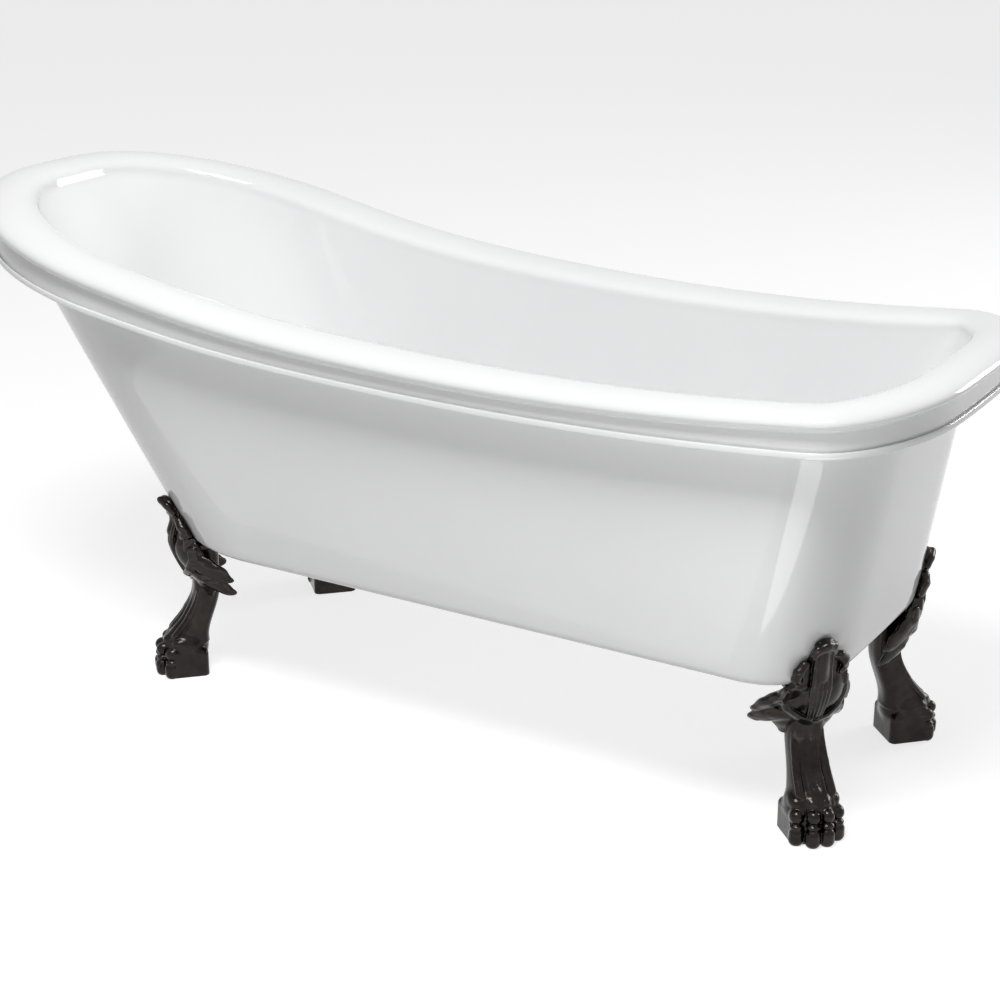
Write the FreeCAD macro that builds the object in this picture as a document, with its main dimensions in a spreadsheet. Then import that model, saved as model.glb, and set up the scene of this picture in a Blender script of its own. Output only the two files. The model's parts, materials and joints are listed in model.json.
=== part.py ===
# A free-standing slipper bath: a bathing well with a rolled rim, an outside skin, and four paw feet.
# Frame: +X towards the low end with the waste, +Y away from the viewer, +Z up, floor at Z = 0,
# origin under the middle of the overall length and width. All sizes are in millimetres.
import FreeCAD, Part
import math
import os
import Sketcher
from FreeCAD import Placement, Rotation, Vector

SIZES = {
    # plan of the rim's centre line; a reach runs from the origin to the straight stretch of an end
    "rim_foot_reach": 750.3, "rim_foot_bow": 15, "rim_foot_half": 258,
    "rim_foot_corner_long": 92, "rim_foot_corner_wide": 168,
    "rim_head_reach": 746.6, "rim_head_bow": 11, "rim_head_half": 289,
    "rim_head_corner_long": 318, "rim_head_corner_wide": 220,
    # height of the rim's centre line at seven even steps, from the raised head end to the foot end
    "rim_height_0": 711, "rim_height_1": 657, "rim_height_2": 610, "rim_height_3": 588,
    "rim_height_4": 582, "rim_height_5": 591, "rim_height_6": 618,
    # the roll's half sizes and the depth of the apron below its centre line
    "roll_wide_head": 42, "roll_wide_middle": 42, "roll_wide_foot": 35,
    "roll_high_head": 22, "roll_high_middle": 18, "roll_high_foot": 15,
    "apron_drop_head": 64, "apron_drop_middle": 39, "apron_drop_foot": 48,
    "apron_inset": 15, "bead_inset": 11, "bead_height": 8, "flange_thickness": 6,
    # the two acrylic skins
    "well_thickness": 6, "skin_thickness": 5,
    "floor_height": 252, "floor_foot_reach": 572, "floor_head_reach": 378, "floor_half": 188,
    "floor_foot_corner_long": 95, "floor_foot_corner_wide": 110,
    "floor_head_corner_long": 150, "floor_head_corner_wide": 120, "floor_round": 68,
    "base_height": 221, "base_foot_reach": 669, "base_foot_bow": 5, "base_half": 236,
    "base_foot_corner_long": 99, "base_foot_corner_wide": 131,
    "base_head_reach": 411, "base_head_bow": 5,
    "base_head_corner_long": 186, "base_head_corner_wide": 139, "base_round": 14,
    "wall_inset_end": 68, "wall_inset_side": 53, "wall_bow": 12,
    # board in the bottom of the outside skin, packers, and the service opening for the waste
    "board_thickness": 12, "board_foot_reach": 651, "board_head_reach": 393, "board_half": 213,
    "board_foot_corner": 112, "board_head_corner": 148,
    "packer_length": 60, "packer_width": 190, "packer_height": 8,
    "packer_head": -240, "packer_middle": 30, "packer_foot": 290,
    "opening_start": 365, "opening_end": 625, "opening_radius": 65,
    # feet: where each stands, and the main sizes of one casting
    "foot_low_along": 661, "foot_low_across": 179, "foot_high_along": 392, "foot_high_across": 203,
    "paw_long": 84, "paw_wide": 78, "paw_high": 78, "toe_radius": 11,
    "ledge_thickness": 9, "ledge_wide": 86, "ledge_deep": 68, "ledge_front": -12,
    "paw_front": 40, "bolt_back": 66, "bolt_side": 30, "leaf_gap": 0.6,
    # fasteners of the feet: M8 bolts into flanged inserts, and M10 levelling glides
    "bolt_radius": 4, "bolt_length": 28, "bolt_head_radius": 7.5, "bolt_head_height": 5.3,
    "bolt_clearance": 0.4, "washer_radius": 9, "washer_thickness": 1.6,
    "insert_flange_radius": 9.5, "insert_flange_thickness": 1.5, "insert_radius": 5.5, "insert_depth": 9,
    "glide_back": 6, "glide_stud_radius": 5, "glide_stud_length": 34, "glide_pad_radius": 13,
    "glide_pad_thickness": 7, "glide_lift": 1, "glide_clearance": 0.06, "glide_recess": 1.5,
    # waste in the floor
    "waste_along": 430, "waste_hole_radius": 26, "waste_dish_radius": 60, "waste_dish_flat": 40,
    "waste_dish_depth": 4, "waste_flange_radius": 35, "waste_flange_thickness": 2.5,
    "waste_tail_radius": 24.5, "waste_tail_bore": 21.5, "waste_tail_length": 24,
    "waste_seal_thickness": 1.5, "waste_gasket_thickness": 4, "waste_gasket_radius": 36,
    "waste_body_radius": 30, "waste_body_bore": 24.6, "waste_body_length": 52, "waste_body_neck": 26,
    "waste_inlet_rise": 28, "waste_inlet_reach": 62, "spoke_width": 3, "spoke_height": 6,
    "spoke_rise": 46, "hub_radius": 10,
    "plug_radius": 31, "plug_thickness": 2.5, "plug_crown": 3, "plug_stem_radius": 4,
    "plug_stem_length": 30, "plug_gap": 0.3, "plug_seal_thickness": 2, "plug_seal_bore": 22,
    "cartridge_radius": 7, "cartridge_length": 30, "cartridge_clearance": 0.05,
    # overflow in the foot-end wall; the elbow's spigot takes the hose
    "overflow_height": 505, "overflow_hole_radius": 24, "overflow_cover_radius": 34,
    "overflow_cover_depth": 13, "overflow_cover_wall": 3, "overflow_washer_thickness": 1.2,
    "overflow_gasket_thickness": 1.4, "overflow_gasket_gap": 0.9,
    "overflow_body_radius": 31, "overflow_body_depth": 15,
    "overflow_hub_radius": 8, "overflow_hub_length": 12, "overflow_boss_radius": 6.5,
    "overflow_slot_radius": 3.2, "overflow_screw_radius": 3, "overflow_screw_head": 6,
    "overflow_screw_length": 28, "overflow_body_wall": 3,
    "spigot_radius": 10.4, "spigot_bore": 8.5, "spigot_length": 50, "spigot_start": 24, "spigot_back": 21,
    "hose_start": 34, "hose_radius": 13, "hose_bore": 10.5, "hose_bend": 70, "hose_end": 16,
    "clip_radius": 14.3, "clip_width": 9, "clip_clearance": 0.1,
    # outlet under the waste: a 40 mm tail pipe and its nut
    "tail_radius": 20, "tail_neck": 19, "tail_bore": 17.5, "tail_length": 60, "tail_free_length": 38,
    "tail_socket": 15,
    "outlet_nut_radius": 31, "outlet_nut_length": 16, "outlet_seal_thickness": 3,
    "fit_gap": 0.3,
}

document = FreeCAD.newDocument("slipper_bath")
sheet = document.addObject("Spreadsheet::Sheet", "sizes")
for row, (name, value) in enumerate(SIZES.items(), start=1):
    sheet.set(f"A{row}", name)
    sheet.set(f"B{row}", str(value))
    sheet.setAlias(f"B{row}", name)
document.recompute()


def size(name):
    """A driving dimension, read from the sheet."""
    return float(sheet.get(name))


# ---------------------------------------------------------------------------------- free-form surfaces
STATIONS = 96              # control points of every ring round the bath; a multiple of four


def quarter_outline(reach, bow, half, corner_long, corner_wide):
    """A quarter of a plan outline, from an end's middle to the long side's middle, as dense points."""
    arc_steps = 60
    points = [(reach, (half - corner_wide) * step / 20) for step in range(20)]
    for step in range(arc_steps + 1):
        angle = math.pi / 2 * step / arc_steps
        points.append((reach - corner_long * (1 - math.cos(angle)),
                       half - corner_wide * (1 - math.sin(angle))))
    points.append((0, half))
    return [(x + bow * (1 - (y / half) ** 2), y) for x, y in points]


def even_points(points, count):
    """Points spaced evenly along a polyline: the first, and then count more up to its end."""
    lengths = [0.0]
    for (x0, y0), (x1, y1) in zip(points, points[1:]):
        lengths.append(lengths[-1] + math.hypot(x1 - x0, y1 - y0))
    picked = []
    segment = 0
    for step in range(count + 1):
        target = lengths[-1] * step / count
        while segment < len(points) - 2 and lengths[segment + 1] < target:
            segment += 1
        share = (target - lengths[segment]) / (lengths[segment + 1] - lengths[segment])
        (x0, y0), (x1, y1) = points[segment], points[segment + 1]
        picked.append((x0 + (x1 - x0) * share, y0 + (y1 - y0) * share))
    return picked


def ring_outline(name, foot_half, head_half):
    """A closed plan outline through STATIONS points, anticlockwise from the foot end's middle."""
    quarter = STATIONS // 4
    foot = even_points(quarter_outline(
        size(name + "_foot_reach"), size(name + "_foot_bow") if name != "floor" else 0, foot_half,
        size(name + "_foot_corner_long"), size(name + "_foot_corner_wide")), quarter)
    head = even_points(quarter_outline(
        size(name + "_head_reach"), size(name + "_head_bow") if name != "floor" else 0, foot_half,
        size(name + "_head_corner_long"), size(name + "_head_corner_wide")), quarter)
    head = [(-x, y) for x, y in head]
    far = foot + head[-2::-1]
    near = [(x, -y) for x, y in far[-2:0:-1]]
    ring = far + near
    span = size(name + "_foot_reach") + size(name + "_head_reach")
    widen = head_half / foot_half - 1
    return [(x, y * (1 + widen * min(1, max(0, 0.5 - x / span)))) for x, y in ring]


def outward(ring):
    """The outward unit normal at every point of an anticlockwise ring."""
    normals = []
    for index in range(len(ring)):
        before = ring[index - 1]
        after = ring[(index + 1) % len(ring)]
        along = (after[0] - before[0], after[1] - before[1])
        length = math.hypot(*along)
        normals.append((along[1] / length, -along[0] / length))
    return normals


def through(ring):
    """Control points of the closed cubic curve that passes through a ring of points."""
    poles = [Vector(point) for point in ring]
    for _ in range(12):
        poles = [pole + (point - (poles[index - 1] + pole * 4 + poles[(index + 1) % len(ring)]) / 6)
                 for index, (pole, point) in enumerate(zip(poles, ring))]
    return poles


def skin(rows, degree=3):
    """A face over rows of control points, closed round the ring and open from first row to last."""
    spans = len(rows) - degree
    count = len(rows[0])
    surface = Part.BSplineSurface()
    surface.buildFromPolesMultsKnots(
        rows, [degree + 1] + [1] * (spans - 1) + [degree + 1], [1] * (count + 1),
        list(range(spans + 1)), list(range(count + 1)), False, True, degree, 3)
    return surface


def closed_solid(surfaces, caps):
    """A solid bounded by ring surfaces, and by flat caps on the named first or last rows."""
    faces = [surface.toShape() for surface in surfaces]
    for surface, row in caps:
        bounds = surface.bounds()
        edge = surface.uIso(bounds[0] if row == "first" else bounds[1]).toShape()
        faces.append(Part.Face(Part.Wire([edge])))
    shell = Part.makeShell(faces)
    shell.sewShape()
    solid = Part.makeSolid(shell)
    if solid.Volume < 0:
        solid.reverse()
    return solid


# ------------------------------------------------------------------------------------ rim and wall rings
RIM = ring_outline("rim", size("rim_foot_half"), size("rim_head_half"))
RIM_NORMALS = outward(RIM)
FLOOR = ring_outline("floor", size("floor_half"), size("floor_half"))
FLOOR_NORMALS = outward(FLOOR)
BASE = ring_outline("base", size("base_half"), size("base_half"))
BASE_NORMALS = outward(BASE)

# the rim's sweep from the head end down to the waist and up again, as a smooth line over X
RIM_STEPS = 6
rim_line = Part.BSplineCurve()
rim_start = -size("rim_head_reach") - size("rim_head_bow")
rim_step = (size("rim_foot_reach") + size("rim_foot_bow") - rim_start) / RIM_STEPS
rim_places = [rim_start + rim_step * step for step in range(RIM_STEPS + 1)]
rim_line.interpolate(
    Points=[Vector(x, 0, size(f"rim_height_{step}")) for step, x in enumerate(rim_places)],
    Parameters=rim_places)


def rim_height(x):
    """Height of the rim's centre line above the floor at a place along the bath."""
    return rim_line.value(max(rim_start, min(rim_start + RIM_STEPS * rim_step, x))).z


def along_rim(name, x):
    """A rim size that varies smoothly from the head end past the middle to the foot end."""
    head, middle, foot = (size(f"{name}_{place}") for place in ("head", "middle", "foot"))
    share = x / size("rim_foot_reach")
    return middle + (foot - head) / 2 * share + ((foot + head) / 2 - middle) * share ** 2


def rim_ring(reach_out, rise):
    """A ring beside the rim's centre line; reach_out and rise are functions of the station's sizes."""
    ring = []
    for (x, y), (nx, ny) in zip(RIM, RIM_NORMALS):
        sizes = [along_rim(name, x) for name in ("roll_wide", "roll_high", "apron_drop")]
        out = reach_out(*sizes)
        ring.append(Vector(x + nx * out, y + ny * out, rim_height(x) + rise(*sizes)))
    return ring


def flat_ring(plan, normals, inward, height):
    """A level ring inside a plan outline."""
    return [Vector(x - nx * inward, y - ny * inward, height) for (x, y), (nx, ny) in zip(plan, normals)]


def between(low, high, share, bow=0.0):
    """A ring part of the way up a wall, bowed outwards at the head end."""
    ring = []
    for (a, b) in zip(low, high):
        point = a + (b - a) * share
        head_share = max(0.0, -point.x / size("rim_head_reach"))
        point.x -= bow * 4 * share * (1 - share) * head_share ** 2
        ring.append(point)
    return ring


def rounded(low, corner, high):
    """Rings round the turn from a flat bottom into a wall."""
    return [[a * (1 - s) ** 2 + b * (2 * s * (1 - s)) + c * s ** 2 for a, b, c in zip(low, corner, high)]
            for s in (0, 0.25, 0.5, 0.75, 1)]


def roll_rings(shrink, angles):
    """Rings over the rolled rim at angles from its outer side; shrink makes the inside of the sheet."""
    turns = [math.radians(angle) for angle in angles]
    return [rim_ring(lambda wide, high, drop, turn=turn: (wide - shrink) * math.cos(turn),
                     lambda wide, high, drop, turn=turn: (high - shrink) * math.sin(turn)) for turn in turns]


def well_rings(depth):
    """Rings of the bathing well from its floor to the roll, on the sheet's face (0) or its back."""
    floor = size("floor_height") - depth
    lip = rim_ring(lambda wide, high, drop: depth - wide, lambda wide, high, drop: -8)
    corner = flat_ring(FLOOR, FLOOR_NORMALS, -depth, floor)
    turn = size("floor_round")
    low = flat_ring(FLOOR, FLOOR_NORMALS, turn - depth / 2, floor)
    high = [b + (top - b).normalize() * turn for b, top in zip(corner, lip)]
    wall = [between(high, lip, share, size("wall_bow")) for share in (0.2, 0.4, 0.6, 0.8, 0.95)]
    return rounded(low, corner, high) + wall + [lip]


ROLL_ANGLES = (180, 155, 130, 105, 80, 55, 30, 5, -20)


def make_inner_shell():
    """The well, its rolled rim and the apron under the roll, with holes for waste and overflow."""
    sheet_thickness = size("well_thickness")
    inset = size("apron_inset")
    seat = size("flange_thickness") + 0.4
    apron_top = rim_ring(lambda wide, high, drop: wide - inset,
                         lambda wide, high, drop: -high * math.sqrt(1 - ((wide - inset) / wide) ** 2))
    apron_foot = rim_ring(lambda wide, high, drop: wide - inset, lambda wide, high, drop: seat - drop)
    back_foot = rim_ring(lambda wide, high, drop: wide - inset - sheet_thickness,
                         lambda wide, high, drop: seat - drop)
    back_top = rim_ring(lambda wide, high, drop: wide - inset - sheet_thickness,
                        lambda wide, high, drop: -(high - sheet_thickness) * 0.8)
    face = skin([through(ring) for ring in well_rings(0) + roll_rings(0, ROLL_ANGLES) + [apron_top]])
    back = skin([through(ring) for ring in
                 well_rings(sheet_thickness) + roll_rings(sheet_thickness, ROLL_ANGLES) + [back_top]])
    apron = [skin([through(upper), through(lower)], 1)
             for upper, lower in ((apron_top, apron_foot), (apron_foot, back_foot), (back_foot, back_top))]
    return closed_solid([face, back] + apron, [(face, "first"), (back, "first")])


def outer_rings(depth):
    """Rings of the outside skin from its flat bottom to under the rim, on its face (0) or its back."""
    bottom = size("base_height") + depth
    turn = size("base_round")
    corner = flat_ring(BASE, BASE_NORMALS, depth, bottom)
    low = flat_ring(BASE, BASE_NORMALS, turn + depth, bottom)
    top = []
    for (x, y), (nx, ny) in zip(RIM, RIM_NORMALS):
        end_share = abs(nx)
        inset = size("wall_inset_side") + (size("wall_inset_end") - size("wall_inset_side")) * end_share
        out = along_rim("roll_wide", x) - inset - depth
        drop = along_rim("apron_drop", x)
        top.append(Vector(x + nx * out, y + ny * out, rim_height(x) - drop))
    high = [b + (c - b).normalize() * turn for b, c in zip(corner, top)]
    cove = [c + (b - c).normalize() * 12 for b, c in zip(corner, top)]
    wall = [between(high, cove, share, size("wall_bow")) for share in (0.1, 0.25, 0.4, 0.6, 0.8, 0.93)]
    return rounded(low, corner, high) + wall + [cove], top


def make_outer_shell():
    """The outside skin, open at the top, with the flange and bead that the inner shell rests on."""
    thickness = size("flange_thickness")
    inset = size("bead_inset")
    face_rows, face_top = outer_rings(0)
    back_rows, back_top = outer_rings(size("skin_thickness"))
    bead = size("bead_height")
    face_rows.append([top + Vector(nx, ny, 0) * 5 for top, (nx, ny) in zip(face_top, RIM_NORMALS)])
    back_rise = Vector(0, 0, thickness)
    back_rows.append([top + Vector(nx, ny, 0) * 5 + back_rise
                      for top, (nx, ny) in zip(back_top, RIM_NORMALS)])
    for reach, rise in ((-14, 0), (-6, 0), (-1, -1), (1, 0), (1, bead), (-1, bead + 1), (-3.4, bead - 0.4)):
        face_rows.append(rim_ring(lambda wide, high, drop: wide - inset + reach,
                                  lambda wide, high, drop: rise - drop))
    end = face_rows[-1]
    back_end = rim_ring(lambda wide, high, drop: wide - inset - 4, lambda wide, high, drop: thickness - drop)
    back_rows.append(rim_ring(lambda wide, high, drop: wide - inset - 14,
                              lambda wide, high, drop: thickness - drop))
    back_rows.append(back_end)
    face = skin([through(ring) for ring in face_rows])
    back = skin([through(ring) for ring in back_rows])
    lip = skin([through(end), through(back_end)], 1)
    return closed_solid([face, back, lip], [(face, "first"), (back, "first")])


def make_rim_bond():
    """The adhesive fillet between the apron's back and the top of the outer shell's flange."""
    gap = 0.3
    leg = 9
    near = size("apron_inset") + size("well_thickness") + gap
    seat = size("flange_thickness") + gap
    corners = [rim_ring(lambda wide, high, drop: wide - near - reach,
                        lambda wide, high, drop: seat + rise - drop)
               for reach, rise in ((0, 0), (0, leg), (leg, 0))]
    rings = [through(ring) for ring in corners]
    return closed_solid([skin([rings[index - 1], rings[index]], 1) for index in range(3)], [])


# ------------------------------------------------------------------------------------------- paw feet
FOOT_PLACES = {
    "foot_near": (1, -1, "foot_low"), "foot_far": (1, 1, "foot_low"),
    "head_near": (-1, -1, "foot_high"), "head_far": (-1, 1, "foot_high"),
}


def foot_placement(place, height=0.0):
    """Where a foot's own frame stands: its X points outwards along the diagonal."""
    side_x, side_y, name = FOOT_PLACES[place]
    position = Vector(side_x * size(name + "_along"), side_y * size(name + "_across"), height)
    return Placement(position, Rotation(Vector(0, 0, 1), math.degrees(math.atan2(side_y, side_x))))


def wall_ring(height):
    """The outside skin's plan at a level just above its bottom."""
    bottom = flat_ring(BASE, BASE_NORMALS, 0, size("base_height"))
    top = outer_rings(0)[1]
    ring = []
    for low, high in zip(bottom, top):
        share = (height - low.z) / (high.z - low.z)
        ring.append(between([low], [high], share, size("wall_bow"))[0])
    return ring


def wall_reach(placement, height, sideways):
    """How far out the skin's wall stands along a foot's diagonal, at a height and offset to the side."""
    local = [placement.inverse().multVec(point) for point in wall_ring(height)]
    reach = -1000.0
    for index, point in enumerate(local):
        before = local[index - 1]
        if (before.y - sideways) * (point.y - sideways) <= 0 and before.y != point.y:
            share = (sideways - before.y) / (point.y - before.y)
            reach = max(reach, before.x + (point.x - before.x) * share)
    return reach


def oval_ring(centre, deep, wide, height, power=2.0, count=16):
    """A level closed ring about a point of the foot's middle line; a higher power squares it off."""
    ring = []
    for index in range(count):
        angle = 2 * math.pi * index / count
        c, s = math.cos(angle), math.sin(angle)
        ring.append(Vector(centre + deep * math.copysign(abs(c) ** (2 / power), c),
                           wide * math.copysign(abs(s) ** (2 / power), s), height))
    return ring


def stack(rings):
    """A solid through level rings, closed by its first and last ring."""
    surface = skin([through(ring) for ring in rings])
    return closed_solid([surface], [(surface, "first"), (surface, "last")])


# the leg's stations: height, middle, half depth, half width
LEG = ((52, -14, 34, 30), (66, -17, 30, 28), (80, -22, 26, 26), (100, -32, 23, 25), (125, -43, 22, 25),
       (150, -46, 21, 25), (172, -45, 22, 25), (190, -43, 24, 25), (206, -41, 25, 25), (212, -41, 25, 25))
# the leaf's stations: height, how far its front stands out, half width, thickness
LEAF = ((136, -27, 25, 9), (143, -24, 46, 13), (151, -21, 66, 16), (161, -17, 75, 18), (171, -12, 77, 18),
        (181, -7, 70, 18), (190, -3, 59, 17), (200, 0, 54, 17), (212, 2, 52, 16), (226, 2, 47, 14),
        (238, 0, 45, 12), (248, -3, 42, 11), (256, -5, 33, 11), (264, -6, 24, 11), (272, -4, 21, 12),
        (280, -2, 20, 13), (286, -1, 17, 13), (290, -1, 12, 11))


def leaf_ring(placement, height, front, half, thickness):
    """One level section of the leaf: a strip that wraps the bath's corner and clears its wall."""
    steps = 10
    curl = 0.0115
    wall_gap = 1.2
    base = size("base_height")
    rear_points = []
    front_points = []
    for step in range(steps + 1):
        side = half * (2 * step / steps - 1)
        middle = front - curl * side ** 2
        edge = math.sqrt(max(0.0, 1 - (side / half) ** 2)) * 0.75 + 0.25
        rear = middle - thickness * edge
        outer = middle
        if height > base - 1:
            wall = wall_reach(placement, max(height, base), side) + wall_gap
            rear = max(rear, wall)
            outer = max(outer, rear + 4 * edge + 1)
        rear_points.append(Vector(rear, side, height))
        front_points.append(Vector(outer, side, height))
    return front_points + rear_points[::-1]


def skin_space():
    """The space taken by the lower part of the outside skin and a thin gap round it."""
    gap = size("leaf_gap")
    rings = []
    for level in (0, 20, 40, 60, 80, 100):
        ring = wall_ring(size("base_height") + level)
        rings.append([point + Vector(nx, ny, 0) * gap for point, (nx, ny) in zip(ring, BASE_NORMALS)])
    return stack(rings)


SKIN_SPACE = skin_space()
TOE_PLACES = (-1.5, -0.5, 0.5, 1.5)
TOE_SPREAD = 5             # how far an outer toe stands back, for a place one step from the middle


def make_paw():
    """The paw's body and its four bent toes, each two knuckles over a lower joint."""
    long, wide, high, toe = (size(name) for name in ("paw_long", "paw_wide", "paw_high", "toe_radius"))
    front = size("paw_front")
    middle = front - long / 2
    pads = ((0, 1, 0), (4, 0, 0), (14, 0, 0), (34, 1, 0), (52, 5, -3), (66, 12, -7), (high, 20, -11))
    solids = [stack([oval_ring(middle - 3 + shift, long / 2 - 8 - trim, wide / 2 - 4 - trim / 2, height, 3)
                     for height, trim, shift in pads])]
    for place in TOE_PLACES:
        across = place * wide / 4
        back = front - toe - TOE_SPREAD * place ** 2
        for behind, height, radius in ((0, toe + 1, toe), (6, 42, toe * 0.95), (16, 60, toe * 0.9)):
            solids.append(Part.makeSphere(radius, Vector(back - behind, across, height)))
        solids.append(Part.makeCylinder(toe * 0.9, 42 - toe - 1, Vector(back - 4, across, toe + 1)))
    return solids


def make_foot(placement):
    """One casting in its own frame: paw, leg, leaf and the ledge under the bath, with its holes."""
    top = size("base_height")
    solids = make_paw()
    solids.append(stack([oval_ring(centre, deep, side, height, 2.3) for height, centre, deep, side in LEG]))
    solids.append(stack([leaf_ring(placement, height, front, half, thick)
                         for height, front, half, thick in LEAF]))
    ledge = size("ledge_thickness")
    deep = size("ledge_deep")
    wide = size("ledge_wide")
    solids.append(Part.makeBox(deep, wide, ledge, Vector(size("ledge_front") - deep, -wide / 2, top - ledge)))
    foot = solids[0].multiFuse(solids[1:])
    skin_here = SKIN_SPACE.copy()
    skin_here.Placement = placement.inverse()
    long = size("paw_long")
    below = Part.makeBox(2 * long, 2 * long, long, Vector(-long, -long, -long))
    glide_place = Vector(-size("glide_back"), 0, 0)
    stud_hole = size("glide_lift") + size("glide_pad_thickness") + size("glide_stud_length") + 1
    holes = [skin_here, below,
             Part.makeCylinder(size("glide_stud_radius") + size("glide_clearance"), stud_hole, glide_place),
             Part.makeCylinder(size("glide_pad_radius") + size("glide_recess"),
                               size("glide_lift") + size("glide_pad_thickness") + 1, glide_place)]
    reach = 70
    for side in (-1, 1):
        place = Vector(-size("bolt_back"), side * size("bolt_side"), top - reach)
        holes.append(Part.makeCylinder(size("bolt_radius") + size("bolt_clearance"), 2 * reach, place))
        holes.append(Part.makeCylinder(size("washer_radius") + 1.5, reach - ledge, place))
    return foot.cut(holes)


# ------------------------------------------------------------------------- objects bound to the sheet
NODES = []


def bound(text):
    """An expression over the sheet's aliases."""
    words = text.replace("(", "( ").replace(")", " )").split()
    return " ".join("sizes." + word if word in SIZES else word for word in words)


def node(thing, label):
    """Name an object as a piece of the bath that gets its own file."""
    thing.Label = label
    NODES.append(thing)
    return thing


def free_form(label, shape, placement=None):
    """A piece whose shape comes from the ring surfaces above."""
    thing = document.addObject("Part::Feature", label)
    thing.Shape = shape
    if placement:
        thing.Placement = placement
    return node(thing, label)


def origin_plane(body, role):
    """One of a body's own origin planes."""
    return [plane for plane in body.Origin.OriginFeatures if plane.Role == role][0]


def outline_sketch(body, name, role, corners):
    """A closed sketch of straight lines whose corners are bound to expressions, as pairs of texts."""
    sketch = body.newObject("Sketcher::SketchObject", name)
    sketch.AttachmentSupport = (origin_plane(body, role), [""])
    sketch.MapMode = "FlatFace"
    count = len(corners)
    turns = [2 * math.pi * step / count for step in range(count)]
    start = [Vector(60 + 40 * math.cos(turn), 60 + 40 * math.sin(turn), 0) for turn in turns]
    for index in range(count):
        sketch.addGeometry(Part.LineSegment(start[index], start[(index + 1) % count]), False)
    for index in range(count):
        sketch.addConstraint(Sketcher.Constraint("Coincident", index, 2, (index + 1) % count, 1))
    for index, (across, up) in enumerate(corners):
        for kind, text, value in (("DistanceX", across, start[index].x), ("DistanceY", up, start[index].y)):
            if text == "0":
                axis = -2 if kind == "DistanceX" else -1
                sketch.addConstraint(Sketcher.Constraint("PointOnObject", index, 1, axis))
            else:
                number = sketch.addConstraint(Sketcher.Constraint(kind, -1, 1, index, 1, value))
                sketch.setExpression(f"Constraints[{number}]", bound(text))
    return sketch


def turned(label, corners, placement, is_node=True):
    """A piece turned about its own Z axis from a profile of (radius, height) expressions."""
    body = document.addObject("PartDesign::Body", label)
    sketch = outline_sketch(body, label + "_profile", "XZ_Plane", corners)
    revolution = body.newObject("PartDesign::Revolution", label + "_turn")
    revolution.Profile = sketch
    revolution.ReferenceAxis = (sketch, ["V_Axis"])
    revolution.Angle = 360
    sketch.Visibility = False
    body.Placement = placement
    return node(body, label) if is_node else body


def cylinder(name, radius, height, placement):
    """A round bar, bound to the sheet."""
    thing = document.addObject("Part::Cylinder", name)
    thing.setExpression("Radius", bound(radius))
    thing.setExpression("Height", bound(height))
    thing.Placement = placement
    return thing


def block(name, long, wide, high, placement):
    """A square-edged block, bound to the sheet."""
    thing = document.addObject("Part::Box", name)
    for side, text in (("Length", long), ("Width", wide), ("Height", high)):
        thing.setExpression(side, bound(text))
    thing.Placement = placement
    return thing


def joined(name, things):
    """Several shapes fused into one."""
    thing = document.addObject("Part::MultiFuse", name)
    thing.Shapes = things
    return thing


def cut(name, base, tool):
    """A shape with another taken out of it."""
    thing = document.addObject("Part::Cut", name)
    thing.Base = base
    thing.Tool = tool
    return thing


def group(label, master, placements):
    """Identical separate solids as one piece: copies of a master shape."""
    document.recompute()
    copies = []
    for placement in placements:
        copy = master.Shape.copy()
        copy.Placement = placement.multiply(copy.Placement)
        copies.append(copy)
    return free_form(label, Part.makeCompound(copies))


def at(x, y, z, rotation=Rotation()):
    """A placement at a point."""
    return Placement(Vector(x, y, z), rotation)


# ------------------------------------------------------------------------------------- shells and board
def over_waste(height, rotation=Rotation()):
    """A placement on the waste's upright axis."""
    return at(size("waste_along"), 0, height, rotation)


def plain(name, shape):
    """A shape from the ring surfaces, to be cut or joined further."""
    thing = document.addObject("Part::Feature", name)
    thing.Shape = shape
    return thing


def overflow_frame():
    """The overflow's own frame: on the well's foot-end wall, its Z pointing square out of the wall
    into the bath, and its X up the wall."""
    height = size("overflow_height")
    rings = well_rings(0)
    wall = [ring[0] for ring in rings[5:-1]]
    for low, high in zip(wall, wall[1:]):
        if low.z <= height <= high.z:
            up = (high - low).normalize()
            point = low + (high - low) * ((height - low.z) / (high.z - low.z))
    into = Vector(-up.z, 0, up.x)
    return Placement(point, Rotation(up, into.cross(up), into, "ZXY"))


OVERFLOW = overflow_frame()


def on_overflow(depth, along=0.0, rotation=Rotation()):
    """A placement in the overflow's frame: depth into the bath, along up the wall."""
    return OVERFLOW.multiply(at(along, 0, depth, rotation))


def make_inner_shell_node():
    """The inner shell with its dished waste seat and its overflow hole."""
    seat = "floor_height - waste_dish_depth"
    under = " - well_thickness"
    dish = turned(
        "waste_dish",
        [("waste_hole_radius", seat), ("waste_dish_flat", seat), ("waste_dish_radius", "floor_height"),
         ("waste_dish_radius", "floor_height" + under), ("waste_dish_flat + 2", seat + under),
         ("waste_hole_radius", seat + under)], over_waste(0), False)
    room = cylinder("dish_room", "waste_dish_radius", "4 * well_thickness",
                    over_waste(size("floor_height") - 2 * size("well_thickness")))
    opened = cut("opened_shell", plain("well_sheet", make_inner_shell()), room)
    seated = joined("seated_shell", [opened, dish])
    hole = cylinder("overflow_hole", "overflow_hole_radius", "4 * well_thickness",
                    on_overflow(-2 * size("well_thickness")))
    return node(cut("inner_shell", seated, hole), "inner_shell")


def service_opening(name, low):
    """The round-ended opening along the bath under the waste, as a tool for cutting."""
    start, end, radius = (size("opening_" + word) for word in ("start", "end", "radius"))
    deep = "4 * board_thickness"
    ends = [cylinder(f"{name}_end_{index}", "opening_radius", deep, at(x, 0, low))
            for index, x in enumerate((start + radius, end - radius))]
    middle = block(name + "_middle", "opening_end - opening_start - 2 * opening_radius", "2 * opening_radius",
                   deep, at(start + radius, -radius, low))
    return joined(name, ends + [middle])


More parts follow.
